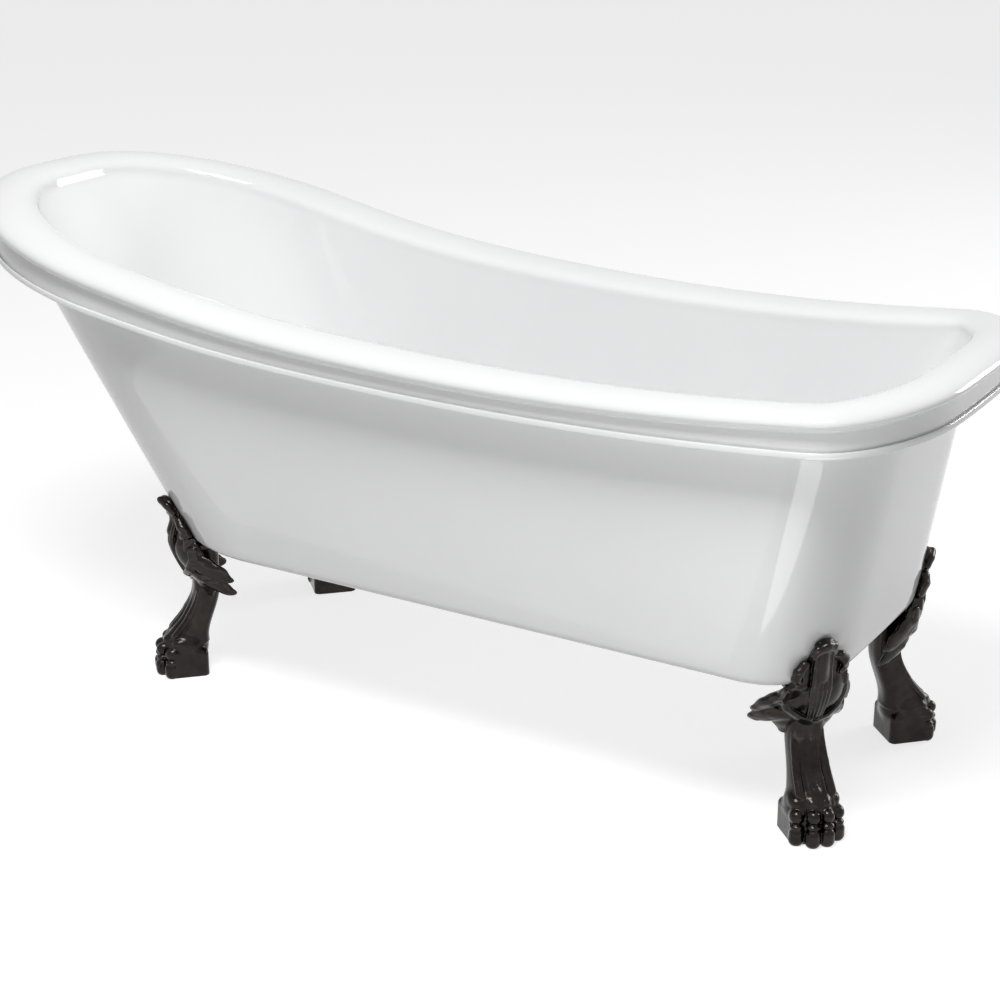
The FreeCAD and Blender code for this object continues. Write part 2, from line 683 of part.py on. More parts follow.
def foot_bolt_places(height):
    """Where the two bolts of every foot stand, at a height."""
    places = []
    for place in FOOT_PLACES:
        frame = foot_placement(place)
        for side in (-1, 1):
            point = frame.multVec(Vector(-size("bolt_back"), side * size("bolt_side"), height))
            places.append(at(point.x, point.y, point.z))
    return places


def holes_at(name, radius, places):
    """Upright holes of one radius, as a list of tools for cutting."""
    return [cylinder(f"{name}_{index}", radius, "4 * board_thickness", place)
            for index, place in enumerate(places)]


def make_outer_shell_node():
    """The outside skin with its service opening and the bolt holes of the feet."""
    low = size("base_height") - 2 * size("board_thickness")
    tools = [service_opening("skin_opening", low)]
    tools += holes_at("skin_hole", "bolt_radius + bolt_clearance", foot_bolt_places(low))
    return node(cut("outer_shell", plain("skin_sheet", make_outer_shell()), joined("skin_tools", tools)),
                "outer_shell")


def make_base_board_node():
    """The board in the bottom of the skin: rounded corners, service opening and insert holes."""
    low = size("base_height") + size("skin_thickness")
    half = size("board_half")
    solids = []
    for end, side in (("foot", 1), ("head", -1)):
        reach = size(f"board_{end}_reach")
        radius = size(f"board_{end}_corner")
        for across in (-1, 1):
            solids.append(cylinder(
                f"board_{end}_round_{across + 1}", f"board_{end}_corner", "board_thickness",
                at(side * (reach - radius), across * (half - radius), low)))
        solids.append(block(f"board_{end}_strip", f"board_{end}_corner",
                            f"2 * (board_half - board_{end}_corner)", "board_thickness",
                            at(min(side * reach, side * (reach - radius)), radius - half, low)))
    solids.append(block(
        "board_middle", "board_foot_reach + board_head_reach - board_foot_corner - board_head_corner",
        "2 * board_half", "board_thickness",
        at(size("board_head_corner") - size("board_head_reach"), -half, low)))
    under = low - size("board_thickness")
    tools = [service_opening("board_opening", under)]
    tools += holes_at("board_hole", "insert_radius", foot_bolt_places(under))
    return node(cut("base_board", joined("board_blank", solids), joined("board_tools", tools)), "base_board")


make_inner_shell_node()
make_outer_shell_node()
free_form("rim_bond", make_rim_bond())
make_base_board_node()

BOARD_TOP = "base_height + skin_thickness + board_thickness"
for place in ("head", "middle", "foot"):
    packer = block("floor_packer_" + place, "packer_length", "packer_width", "packer_height", at(0, 0, 0))
    packer.setExpression("Placement.Base.x", bound("packer_" + place))
    packer.setExpression("Placement.Base.y", bound("- packer_width / 2"))
    packer.setExpression("Placement.Base.z", bound(BOARD_TOP))
    node(packer, "floor_packer_" + place)

# ------------------------------------------------------------------------------ feet and their fixings
for place in FOOT_PLACES:
    frame = foot_placement(place)
    free_form("claw_foot_" + place, make_foot(frame), frame)

for place in FOOT_PLACES:
    point = foot_placement(place).multVec(Vector(-size("glide_back"), 0, size("glide_lift")))
    turned("leveller_" + place,
           [("0", "0"), ("glide_pad_radius - 1.5", "0"), ("glide_pad_radius", "1.5"),
            ("glide_pad_radius", "glide_pad_thickness"), ("glide_stud_radius", "glide_pad_thickness"),
            ("glide_stud_radius", "glide_pad_thickness + glide_stud_length - 1"),
            ("glide_stud_radius - 1", "glide_pad_thickness + glide_stud_length"),
            ("0", "glide_pad_thickness + glide_stud_length")], at(point.x, point.y, point.z))

UNDER_LEDGE = size("base_height") - size("ledge_thickness")
WASHER_HOLE = "bolt_radius + bolt_clearance"
washer = turned("washer", [(WASHER_HOLE, "0"), ("washer_radius", "0"), ("washer_radius", "washer_thickness"),
                           (WASHER_HOLE, "washer_thickness")], at(0, 0, 0), False)
group("foot_washers", washer, foot_bolt_places(UNDER_LEDGE - size("washer_thickness")))

bolt_head = document.addObject("Part::Prism", "bolt_head")
bolt_head.Polygon = 6
bolt_head.setExpression("Circumradius", bound("bolt_head_radius"))
bolt_head.setExpression("Height", bound("bolt_head_height"))
bolt_shank = cylinder("bolt_shank", "bolt_radius", "bolt_length + bolt_head_height", at(0, 0, 0))
bolt = joined("bolt", [bolt_head, bolt_shank])
group("foot_bolts", bolt,
      foot_bolt_places(UNDER_LEDGE - size("washer_thickness") - size("bolt_head_height")))

board_top = size("base_height") + size("skin_thickness") + size("board_thickness")
insert = turned("insert", [("bolt_radius", "0"), ("insert_radius", "0"), ("insert_radius", "insert_depth"),
                           ("insert_flange_radius", "insert_depth"),
                           ("insert_flange_radius", "insert_depth + insert_flange_thickness"),
                           ("bolt_radius", "insert_depth + insert_flange_thickness")], at(0, 0, 0), False)
group("board_inserts", insert, foot_bolt_places(board_top - size("insert_depth")))

# ---------------------------------------------------------------------------------- waste in the floor
FLOOR_SEAT = size("floor_height") - size("waste_dish_depth")
FLANGE_TOP = FLOOR_SEAT + size("waste_seal_thickness") + size("waste_flange_thickness")
FLOOR_UNDERSIDE = FLOOR_SEAT - size("well_thickness")
BODY_TOP = FLOOR_UNDERSIDE - size("waste_gasket_thickness")
BODY_FOOT = BODY_TOP - size("waste_body_length")


turned("waste_seal", [("waste_tail_radius + fit_gap", "0"), ("waste_flange_radius - 2", "0"),
                      ("waste_flange_radius - 2", "waste_seal_thickness"),
                      ("waste_tail_radius + fit_gap", "waste_seal_thickness")], over_waste(FLOOR_SEAT))
turned("waste_gasket", [("waste_tail_radius + fit_gap", "0"), ("waste_gasket_radius", "0"),
                        ("waste_gasket_radius", "waste_gasket_thickness"),
                        ("waste_tail_radius + fit_gap", "waste_gasket_thickness")], over_waste(BODY_TOP))

flange_foot = FLANGE_TOP - size("waste_flange_thickness") - size("waste_tail_length")
flange_ring = turned(
    "flange_ring",
    [("waste_tail_bore", "0"), ("waste_tail_radius", "0"), ("waste_tail_radius", "waste_tail_length"),
     ("waste_flange_radius", "waste_tail_length"), ("waste_flange_radius", "waste_tail_length + 1"),
     ("waste_flange_radius - 1.5", "waste_tail_length + waste_flange_thickness"),
     ("waste_tail_bore", "waste_tail_length + waste_flange_thickness")], over_waste(flange_foot), False)
spoke_height = BODY_FOOT + size("spoke_rise")
spokes = []
for turn in (0, 90):
    spoke = block(f"spoke_{turn}", "2 * waste_tail_bore + 2", "spoke_width", "spoke_height", at(0, 0, 0))
    centring = at(-size("waste_tail_bore") - 1, -size("spoke_width") / 2, 0)
    spoke.Placement = over_waste(spoke_height, Rotation(Vector(0, 0, 1), turn)).multiply(centring)
    spokes.append(spoke)
hub = cylinder("hub", "hub_radius", "spoke_height", over_waste(spoke_height))
hub_bore = cylinder("hub_bore", "cartridge_radius + cartridge_clearance", "3 * spoke_height",
                    over_waste(spoke_height - size("spoke_height")))
flange_blank = joined("flange_and_spokes", [flange_ring] + spokes + [hub])
node(cut("waste_flange", flange_blank, hub_bore), "waste_flange")

cartridge_foot = FLANGE_TOP - 2 - size("cartridge_length")
turned("click_cartridge",
       [("0", "0"), ("cartridge_radius", "0"), ("cartridge_radius", "cartridge_length"),
        ("plug_stem_radius + cartridge_clearance", "cartridge_length"),
        ("plug_stem_radius + cartridge_clearance", "3"), ("0", "3")], over_waste(cartridge_foot))
turned("waste_plug",
       [("0", "0"), ("plug_stem_radius", "0"), ("plug_stem_radius", "plug_stem_length"),
        ("plug_radius - 1", "plug_stem_length"), ("plug_radius", "plug_stem_length + 1"),
        ("plug_radius", "plug_stem_length + plug_thickness - 1"),
        ("plug_radius * 0.8", "plug_stem_length + plug_thickness + plug_crown * 0.4"),
        ("plug_radius * 0.5", "plug_stem_length + plug_thickness + plug_crown * 0.8"),
        ("0", "plug_stem_length + plug_thickness + plug_crown")],
       over_waste(FLANGE_TOP + size("plug_gap") + size("plug_seal_thickness") - size("plug_stem_length")))
turned("plug_seal", [("plug_seal_bore", "0"), ("plug_radius - 2", "0"),
                     ("plug_radius - 2", "plug_seal_thickness"), ("plug_seal_bore", "plug_seal_thickness")],
       over_waste(FLANGE_TOP + size("plug_gap")))

body_shell = turned(
    "body_shell",
    [("tail_radius + 0.2", "0"), ("waste_body_neck", "0"), ("waste_body_neck", "tail_socket - 1"),
     ("waste_body_radius", "tail_socket + 1"), ("waste_body_radius", "waste_body_length - 6"),
     ("waste_gasket_radius", "waste_body_length - 4"), ("waste_gasket_radius", "waste_body_length"),
     ("waste_body_bore", "waste_body_length"), ("waste_body_bore", "tail_socket + 2"),
     ("tail_bore", "tail_socket + 2"), ("tail_bore", "tail_socket"), ("tail_radius + 0.2", "tail_socket")],
    over_waste(BODY_FOOT), False)
TOWARDS_FOOT = Rotation(Vector(0, 1, 0), 90)
inlet_height = BODY_FOOT + size("waste_inlet_rise")
inlet = cylinder("inlet", "spigot_radius", "waste_inlet_reach - waste_body_bore - 1",
                 at(size("waste_along") + size("waste_body_bore") + 1, 0, inlet_height, TOWARDS_FOOT))
inlet_bore = cylinder("inlet_bore", "spigot_bore", "waste_inlet_reach + 5",
                      at(size("waste_along"), 0, inlet_height, TOWARDS_FOOT))
node(cut("waste_body", joined("body_and_inlet", [body_shell, inlet]), inlet_bore), "waste_body")

tail_top = BODY_FOOT + size("tail_socket") - size("fit_gap")
turned("outlet_tail", [("tail_bore", "0"), ("tail_radius", "0"), ("tail_radius", "tail_free_length"),
                       ("tail_neck", "tail_free_length"), ("tail_neck", "tail_length"),
                       ("tail_bore", "tail_length")], over_waste(tail_top - size("tail_length")))
seal_low = BODY_FOOT - size("fit_gap") - size("outlet_seal_thickness")
turned("outlet_seal", [("tail_neck", "0"), ("waste_body_neck - fit_gap", "0"),
                       ("waste_body_neck - fit_gap", "outlet_seal_thickness"),
                       ("tail_neck", "outlet_seal_thickness")], over_waste(seal_low))
turned("outlet_nut",
       [("tail_radius + fit_gap", "0"), ("outlet_nut_radius - 1", "0"), ("outlet_nut_radius", "1"),
        ("outlet_nut_radius", "outlet_nut_length"), ("waste_body_neck + fit_gap", "outlet_nut_length"),
        ("waste_body_neck + fit_gap", "3"), ("tail_radius + fit_gap", "3")], over_waste(seal_low - 3))

# ------------------------------------------------------------------------ overflow in the foot-end wall
WALL_BACK = -size("well_thickness")
GASKET_BACK = WALL_BACK - size("overflow_gasket_gap") - size("overflow_gasket_thickness")
HOUSING_BACK = GASKET_BACK - size("overflow_body_depth")
HUB_BACK = -size("overflow_hub_length")
DOWN_THE_WALL = Rotation(Vector(0, 1, 0), -90)

turned("overflow_washer",
       [("overflow_cover_radius - overflow_cover_wall - 1", "0"), ("overflow_cover_radius", "0"),
        ("overflow_cover_radius", "overflow_washer_thickness"),
        ("overflow_cover_radius - overflow_cover_wall - 1", "overflow_washer_thickness")],
       on_overflow(size("fit_gap")))
turned("overflow_gasket",
       [("overflow_hole_radius + fit_gap", "0"), ("overflow_body_radius", "0"),
        ("overflow_body_radius", "overflow_gasket_thickness"),
        ("overflow_hole_radius + fit_gap", "overflow_gasket_thickness")], on_overflow(GASKET_BACK))

COVER_FACE = "overflow_hub_length + overflow_cover_depth"
COVER_INSIDE = COVER_FACE + " - overflow_cover_wall"
COVER_EDGE = "overflow_hub_length + overflow_washer_thickness + fit_gap"
cover_cap = turned(
    "cover_cap",
    [("overflow_screw_radius + fit_gap", "0"), ("overflow_hub_radius", "0"),
     ("overflow_hub_radius", COVER_INSIDE), ("overflow_cover_radius - overflow_cover_wall", COVER_INSIDE),
     ("overflow_cover_radius - overflow_cover_wall", COVER_EDGE), ("overflow_cover_radius", COVER_EDGE),
     ("overflow_cover_radius", COVER_FACE + " - 3"), ("overflow_cover_radius - 1", COVER_FACE + " - 1"),
     ("overflow_cover_radius - 3", COVER_FACE), ("overflow_screw_head + fit_gap", COVER_FACE),
     ("overflow_screw_head + fit_gap", COVER_INSIDE), ("overflow_screw_radius + fit_gap", COVER_INSIDE)],
    on_overflow(HUB_BACK), False)
slots = []
for turn in (-50, -25, 0, 25, 50):
    slot = cylinder(f"slot_{turn + 50}", "overflow_slot_radius", "overflow_cover_radius",
                    on_overflow(size("overflow_cover_depth") / 2 - 0.5))
    slot.Placement = slot.Placement.multiply(at(0, 0, 0, Rotation(Vector(0, 0, 1), turn)))
    slot.Placement = slot.Placement.multiply(at(-size("overflow_hub_radius") - 4, 0, 0, DOWN_THE_WALL))
    slots.append(slot)
node(cut("overflow_cover", cover_cap, joined("cover_slots", slots)), "overflow_cover")
turned("overflow_screw",
       [("0", "0"), ("overflow_screw_radius", "0"), ("overflow_screw_radius", "overflow_screw_length"),
        ("overflow_screw_head", "overflow_screw_length"),
        ("overflow_screw_head", "overflow_screw_length + overflow_cover_wall - 1"),
        ("overflow_screw_head - 1", "overflow_screw_length + overflow_cover_wall - 0.3"),
        ("0", "overflow_screw_length + overflow_cover_wall - 0.3")],
       on_overflow(size("overflow_cover_depth") - size("overflow_cover_wall")
                   - size("overflow_screw_length")))

housing = turned(
    "housing",
    [("0", "0"), ("overflow_body_radius", "0"), ("overflow_body_radius", "overflow_body_depth"),
     ("overflow_hole_radius + fit_gap", "overflow_body_depth"),
     ("overflow_hole_radius + fit_gap", "overflow_body_depth - 2"),
     ("overflow_body_radius - overflow_body_wall", "overflow_body_depth - 2"),
     ("overflow_body_radius - overflow_body_wall", "2"), ("overflow_boss_radius", "2"),
     ("overflow_boss_radius", "overflow_body_depth - 4.5"),
     ("overflow_screw_radius + 0.05", "overflow_body_depth - 4.5"),
     ("overflow_screw_radius + 0.05", "3"), ("0", "3")], on_overflow(HOUSING_BACK), False)
spigot = cylinder("spigot", "spigot_radius", "spigot_length - spigot_start",
                  on_overflow(-size("spigot_back"), -size("spigot_start"), DOWN_THE_WALL))
spigot_bore = cylinder("spigot_bore", "spigot_bore", "spigot_length - spigot_start + 20",
                       on_overflow(-size("spigot_back"), 10 - size("spigot_start"), DOWN_THE_WALL))
node(cut("overflow_elbow", joined("housing_and_spigot", [housing, spigot]), spigot_bore), "overflow_elbow")


def make_hose():
    """The hose down the foot-end wall and in to the waste: two straight runs and one bend."""
    start = OVERFLOW.multVec(Vector(-size("hose_start"), 0, -size("spigot_back")))
    down = OVERFLOW.Rotation.multVec(Vector(-1, 0, 0))
    corner = start + down * ((start.z - inlet_height) / -down.z)
    level = Vector(-1, 0, 0)
    end = Vector(size("waste_along") + size("waste_inlet_reach") - size("hose_end"), 0, inlet_height)
    bend = size("hose_bend")
    half_turn = down.getAngle(level) / 2
    lead = bend * math.tan(half_turn)
    bend_start = corner - down * lead
    bend_end = corner + level * lead
    inwards = (level - down).normalize()
    bend_middle = corner + inwards * (bend / math.cos(half_turn) - bend)
    path = Part.Wire([Part.makeLine(start, bend_start),
                      Part.Arc(bend_start, bend_middle, bend_end).toShape(), Part.makeLine(bend_end, end)])
    tubes = []
    for radius in (size("hose_radius"), size("hose_bore")):
        ring = Part.Wire([Part.makeCircle(radius, start, down)])
        tubes.append(path.makePipeShell([ring], True, False))
    return tubes[0].cut(tubes[1])


free_form("overflow_hose", make_hose())
clip = turned("clip", [("hose_radius + clip_clearance", "0"), ("clip_radius", "0"),
                       ("clip_radius", "clip_width"), ("hose_radius + clip_clearance", "clip_width")],
              at(0, 0, 0), False)
CLIP_IN = 3                # how far a clip stands from its end of the hose
hose_foot = size("waste_along") + size("waste_inlet_reach") - size("hose_end")
group("hose_clips", clip,
      [on_overflow(-size("spigot_back"), -size("hose_start") - CLIP_IN, DOWN_THE_WALL),
       at(hose_foot + CLIP_IN, 0, inlet_height, TOWARDS_FOOT)])

# ------------------------------------------------------------------------------------ check and write
document.recompute()
for thing in document.Objects:
    if "Invalid" in thing.State or "Error" in thing.State:
        raise RuntimeError(f"{thing.Label} failed: {thing.State}")
for thing in NODES:
    if thing.Shape.isNull() or not thing.Shape.isValid() or not thing.Shape.Solids:
        raise RuntimeError(f"{thing.Label} has no valid solid")

os.makedirs("parts", exist_ok=True)
for thing in NODES:
    thing.Shape.exportStep(f"parts/{thing.Label}.step")
print(len(NODES), "parts written")
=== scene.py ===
"""Looks of a white slipper bath on four black paw feet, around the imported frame.

The frame has +X towards the low end with the waste, +Z up and the floor at Z = 0. Shapes are worked out
in millimetres with the sizes of the shells and feet, and turned into metres where meshes are made.
"""
import json
import math

import bpy
import numpy as np
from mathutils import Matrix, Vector


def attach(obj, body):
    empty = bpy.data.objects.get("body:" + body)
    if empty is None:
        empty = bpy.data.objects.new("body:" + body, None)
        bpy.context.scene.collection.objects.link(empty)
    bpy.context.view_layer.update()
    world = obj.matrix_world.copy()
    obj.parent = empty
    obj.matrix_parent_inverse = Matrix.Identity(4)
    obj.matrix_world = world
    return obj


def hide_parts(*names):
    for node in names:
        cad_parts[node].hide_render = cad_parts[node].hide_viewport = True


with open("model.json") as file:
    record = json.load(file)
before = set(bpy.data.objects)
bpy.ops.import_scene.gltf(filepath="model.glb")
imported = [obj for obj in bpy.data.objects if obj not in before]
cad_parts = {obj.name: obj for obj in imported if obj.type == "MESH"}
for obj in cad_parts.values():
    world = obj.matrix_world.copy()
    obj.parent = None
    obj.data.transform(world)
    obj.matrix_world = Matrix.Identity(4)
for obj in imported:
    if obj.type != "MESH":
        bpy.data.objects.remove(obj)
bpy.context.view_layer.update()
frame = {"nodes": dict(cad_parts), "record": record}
MM = 0.001

# ---------------------------------------------------------------------------------- sizes of the shells
PLANS = {
    "rim": {"foot_reach": 750.3, "foot_bow": 15, "foot_corner": (92, 168), "foot_half": 258,
            "head_reach": 746.6, "head_bow": 11, "head_corner": (318, 220), "head_half": 289},
    "floor": {"foot_reach": 572, "foot_bow": 0, "foot_corner": (95, 110), "foot_half": 188,
              "head_reach": 378, "head_bow": 0, "head_corner": (150, 120), "head_half": 188},
    "base": {"foot_reach": 669, "foot_bow": 5, "foot_corner": (99, 131), "foot_half": 236,
             "head_reach": 411, "head_bow": 5, "head_corner": (186, 139), "head_half": 236},
}
RIM_HEIGHTS = (711, 657, 610, 588, 582, 591, 618)
ROLL_WIDE = (42, 42, 35)           # at the head end, the middle and the foot end
ROLL_HIGH = (22, 18, 15)
APRON_DROP = (64, 39, 48)
APRON_INSET = 15
BEAD_INSET = 11
BEAD_HEIGHT = 8
FLANGE_THICKNESS = 6
WELL_THICKNESS = 6
SKIN_THICKNESS = 5
FLOOR_HEIGHT = 252
FLOOR_ROUND = 68
BASE_HEIGHT = 221
BASE_ROUND = 14
WALL_INSET_SIDE = 53
WALL_INSET_END = 68
WALL_BOW = 12
WASTE_ALONG = 430
WASTE_HOLE_RADIUS = 26
WASTE_DISH_RADIUS = 60
WASTE_DISH_FLAT = 40
WASTE_DISH_DEPTH = 4
OVERFLOW_HEIGHT = 505
OVERFLOW_HOLE_RADIUS = 24
OPENING_MIDDLE = 495
OPENING_RADIUS = 65
OPENING_STRAIGHT = 65              # half the straight stretch of the service opening

STATIONS = 96                      # control points of every ring round the bath
AROUND = 5                         # mesh steps between two stations
ROUND_COUNT = STATIONS * AROUND
SPAN_STEPS = 7                     # mesh steps to each span of a section


# ------------------------------------------------------------------------------------ rings and surfaces
def quarter_outline(reach, bow, half, corner):
    """A quarter of a plan outline, from an end's middle to the long side's middle, as dense points."""
    long, wide = corner
    turn = np.linspace(0, math.pi / 2, 61)
    straight = np.linspace(0, half - wide, 20, endpoint=False)
    x = np.concatenate([np.full(20, float(reach)), reach - long * (1 - np.cos(turn)), [0.0]])
    y = np.concatenate([straight, half - wide * (1 - np.sin(turn)), [half]])
    return np.stack([x + bow * (1 - (y / half) ** 2), y], axis=1)


def even_points(points, count):
    """Points spaced evenly along a polyline: the first, and then count more up to its end."""
    lengths = np.concatenate([[0], np.cumsum(np.linalg.norm(np.diff(points, axis=0), axis=1))])
    targets = np.linspace(0, lengths[-1], count + 1)
    return np.stack([np.interp(targets, lengths, points[:, axis]) for axis in (0, 1)], axis=1)


def ring_outline(name):
    """A closed plan outline through STATIONS points, anticlockwise from the foot end's middle."""
    plan = PLANS[name]
    quarter = STATIONS // 4
    half = plan["foot_half"]
    foot, head = (even_points(quarter_outline(plan[end + "_reach"], plan[end + "_bow"], half,
                                              plan[end + "_corner"]), quarter) for end in ("foot", "head"))
    head[:, 0] *= -1
    far = np.concatenate([foot, head[-2::-1]])
    near = far[-2:0:-1] * (1, -1)
    ring = np.concatenate([far, near])
    share = np.clip(0.5 - ring[:, 0] / (plan["foot_reach"] + plan["head_reach"]), 0, 1)
    ring[:, 1] *= 1 + (plan["head_half"] / half - 1) * share
    return ring


def outward(ring):
    """The outward unit normal at every point of an anticlockwise ring."""
    along = np.roll(ring, -1, axis=0) - np.roll(ring, 1, axis=0)
    along /= np.linalg.norm(along, axis=1, keepdims=True)
    return np.stack([along[:, 1], -along[:, 0]], axis=1)


RIM, FLOOR, BASE = (ring_outline(name) for name in ("rim", "floor", "base"))
RIM_NORMALS, FLOOR_NORMALS, BASE_NORMALS = (outward(ring) for ring in (RIM, FLOOR, BASE))
RIM_START = -PLANS["rim"]["head_reach"] - PLANS["rim"]["head_bow"]
RIM_END = PLANS["rim"]["foot_reach"] + PLANS["rim"]["foot_bow"]


def smooth_line(places, values, wanted):
    """A cubic line through evenly spaced values, its end slopes those of the first and last four."""
    places, values = np.asarray(places, float), np.asarray(values, float)
    step = places[1] - places[0]
    end_slope = np.array([-11, 18, -9, 2]) / (6 * step)
    count = len(values)
    system = np.eye(count)
    sides = np.zeros(count)
    sides[0] = end_slope @ values[:4]
    sides[-1] = -end_slope @ values[::-1][:4]
    for row in range(1, count - 1):
        system[row, row - 1:row + 2] = (1, 4, 1)
        sides[row] = 3 * (values[row + 1] - values[row - 1]) / step
    slopes = np.linalg.solve(system, sides) * step
    wanted = np.clip(np.asarray(wanted, float), places[0], places[-1])
    index = np.clip(((wanted - places[0]) / step).astype(int), 0, count - 2)
    part = (wanted - places[index]) / step
    return ((2 * part ** 3 - 3 * part ** 2 + 1) * values[index]
            + (part ** 3 - 2 * part ** 2 + part) * slopes[index]
            + (3 * part ** 2 - 2 * part ** 3) * values[index + 1]
            + (part ** 3 - part ** 2) * slopes[index + 1])


def rim_height(x):
    """Height of the rim's centre line at places along the bath."""
    return smooth_line(np.linspace(RIM_START, RIM_END, len(RIM_HEIGHTS)), RIM_HEIGHTS, x)


def along_rim(sizes, x):
    """A rim size that varies smoothly from the head end past the middle to the foot end."""
    head, middle, foot = sizes
    share = x / PLANS["rim"]["foot_reach"]
    return middle + (foot - head) / 2 * share + ((foot + head) / 2 - middle) * share ** 2


WIDE, HIGH, DROP = (along_rim(sizes, RIM[:, 0]) for sizes in (ROLL_WIDE, ROLL_HIGH, APRON_DROP))
RIM_Z = rim_height(RIM[:, 0])


def ring_at(plan, normals, out, height):
    """A ring beside a plan outline; out and height may differ from station to station."""
    out = np.broadcast_to(out, len(plan))
    height = np.broadcast_to(height, len(plan))
    return np.concatenate([plan + normals * out[:, None], height[:, None]], axis=1).astype(float)


def rim_ring(out, rise):
    """A ring beside the rim's centre line."""
    return ring_at(RIM, RIM_NORMALS, out, RIM_Z + rise)


def unit(vectors):
    """Vectors made one long."""
    return vectors / np.linalg.norm(vectors, axis=1, keepdims=True)


def between(low, high, share, bow=0.0):
    """A ring part of the way up a wall, bowed outwards at the head end."""
    ring = low + (high - low) * share
    head_share = np.clip(-ring[:, 0] / PLANS["rim"]["head_reach"], 0, None)
    ring[:, 0] -= bow * 4 * share * (1 - share) * head_share ** 2
    return ring


def rounded(low, corner, high):
    """Rings round the turn from a flat bottom into a wall."""
    return [low * (1 - s) ** 2 + corner * 2 * s * (1 - s) + high * s ** 2 for s in (0, 0.25, 0.5, 0.75, 1)]


def well_rings(depth):
    """Rings of the bathing well from its floor to the roll, on the sheet's face (0) or its back."""
    floor = FLOOR_HEIGHT - depth
    lip = rim_ring(depth - WIDE, -8)
    corner = ring_at(FLOOR, FLOOR_NORMALS, depth, floor)
    low = ring_at(FLOOR, FLOOR_NORMALS, depth / 2 - FLOOR_ROUND, floor)
    high = corner + unit(lip - corner) * FLOOR_ROUND
    wall = [between(high, lip, share, WALL_BOW) for share in (0.2, 0.4, 0.6, 0.8, 0.95)]
    return rounded(low, corner, high) + wall + [lip]


def roll_rings(shrink):
    """Rings over the rolled rim, on the sheet's face (0) or its back."""
    turns = np.radians((180, 155, 130, 105, 80, 55, 30, 5, -20))
    return [rim_ring((WIDE - shrink) * math.cos(turn), (HIGH - shrink) * math.sin(turn)) for turn in turns]


def outer_wall(depth):
    """The outside skin's corner ring at its bottom, and its top ring under the rim."""
    corner = ring_at(BASE, BASE_NORMALS, -depth, BASE_HEIGHT + depth)
    inset = WALL_INSET_SIDE + (WALL_INSET_END - WALL_INSET_SIDE) * np.abs(RIM_NORMALS[:, 0])
    return corner, rim_ring(WIDE - inset - depth, -DROP)


def outer_rings(depth):
    """Rings of the outside skin from its flat bottom to under the rim, on its face (0) or its back."""
    corner, top = outer_wall(depth)
    low = ring_at(BASE, BASE_NORMALS, -BASE_ROUND - depth, BASE_HEIGHT + depth)
    high = corner + unit(top - corner) * BASE_ROUND
    cove = top + unit(corner - top) * 12
    wall = [between(high, cove, share, WALL_BOW) for share in (0.1, 0.25, 0.4, 0.6, 0.8, 0.93)]
    return rounded(low, corner, high) + wall + [cove], top


def around_weights():
    """Weights that take a ring of stations to the dense closed cubic curve through them."""
    through = np.zeros((STATIONS, STATIONS))
    index = np.arange(STATIONS)
    through[index, index] = 4 / 6
    through[index, index - 1] = 1 / 6
    through[index, (index + 1) % STATIONS] = 1 / 6
    dense = np.zeros((ROUND_COUNT, STATIONS))
    for row in range(ROUND_COUNT):
        station, part = divmod(row, AROUND)
        t = part / AROUND
        weights = ((1 - t) ** 3, 3 * t ** 3 - 6 * t ** 2 + 4, -3 * t ** 3 + 3 * t ** 2 + 3 * t + 1, t ** 3)
        for offset, weight in zip((-1, 0, 1, 2), weights):
            dense[row, (station + offset) % STATIONS] += weight / 6
    return dense @ np.linalg.inv(through)


AROUND_WEIGHTS = around_weights()


def section_weights(count, steps):
    """Weights of a clamped cubic line over a count of control rows."""
    spans = count - 3
    knots = np.concatenate([np.zeros(3), np.arange(spans + 1), np.full(3, spans)]).astype(float)
    places = np.linspace(0, spans, spans * steps + 1)
    inside = np.minimum(places, spans - 1e-9)
    basis = ((inside[:, None] >= knots[:-1]) & (inside[:, None] < knots[1:])).astype(float)
    for degree in (1, 2, 3):
        new = np.zeros((len(places), len(knots) - 1 - degree))
        for column in range(new.shape[1]):
            left = knots[column + degree] - knots[column]
            right = knots[column + degree + 1] - knots[column + 1]
            if left > 0:
                new[:, column] += (inside - knots[column]) / left * basis[:, column]
            if right > 0:
                new[:, column] += (knots[column + degree + 1] - inside) / right * basis[:, column + 1]
        basis = new
    return basis


def skin(rows, steps=SPAN_STEPS):
    """Dense rings of the surface over control rows: an array of rows, points round, and three."""
    dense = np.einsum("as,rsc->rac", AROUND_WEIGHTS, np.array(rows))
    return np.einsum("ur,rac->uac", section_weights(len(rows), steps), dense)


def dense_ring(ring):
    """One dense ring through the stations of a ring."""
    return AROUND_WEIGHTS @ ring


def circle_ring(ring, middle, radius, height):
    """A ring of points round a middle, each on the line from it towards the matching point of a ring."""
    away = ring[:, :2] - middle
    away /= np.linalg.norm(away, axis=1, keepdims=True)
    reach = radius(away) if callable(radius) else np.full(len(ring), float(radius))
    return np.concatenate([middle + away * reach[:, None], np.full((len(ring), 1), float(height))], axis=1)


def corner_arc(corner, before, after, radius, steps=4):
    """Rings round a small arc that takes the sharpness off one ring of a straight section."""
    start = corner + unit(before - corner) * radius
    end = corner + unit(after - corner) * radius
    return [start * (1 - s) ** 2 + corner * 2 * s * (1 - s) + end * s ** 2
            for s in np.linspace(0, 1, steps + 1)]


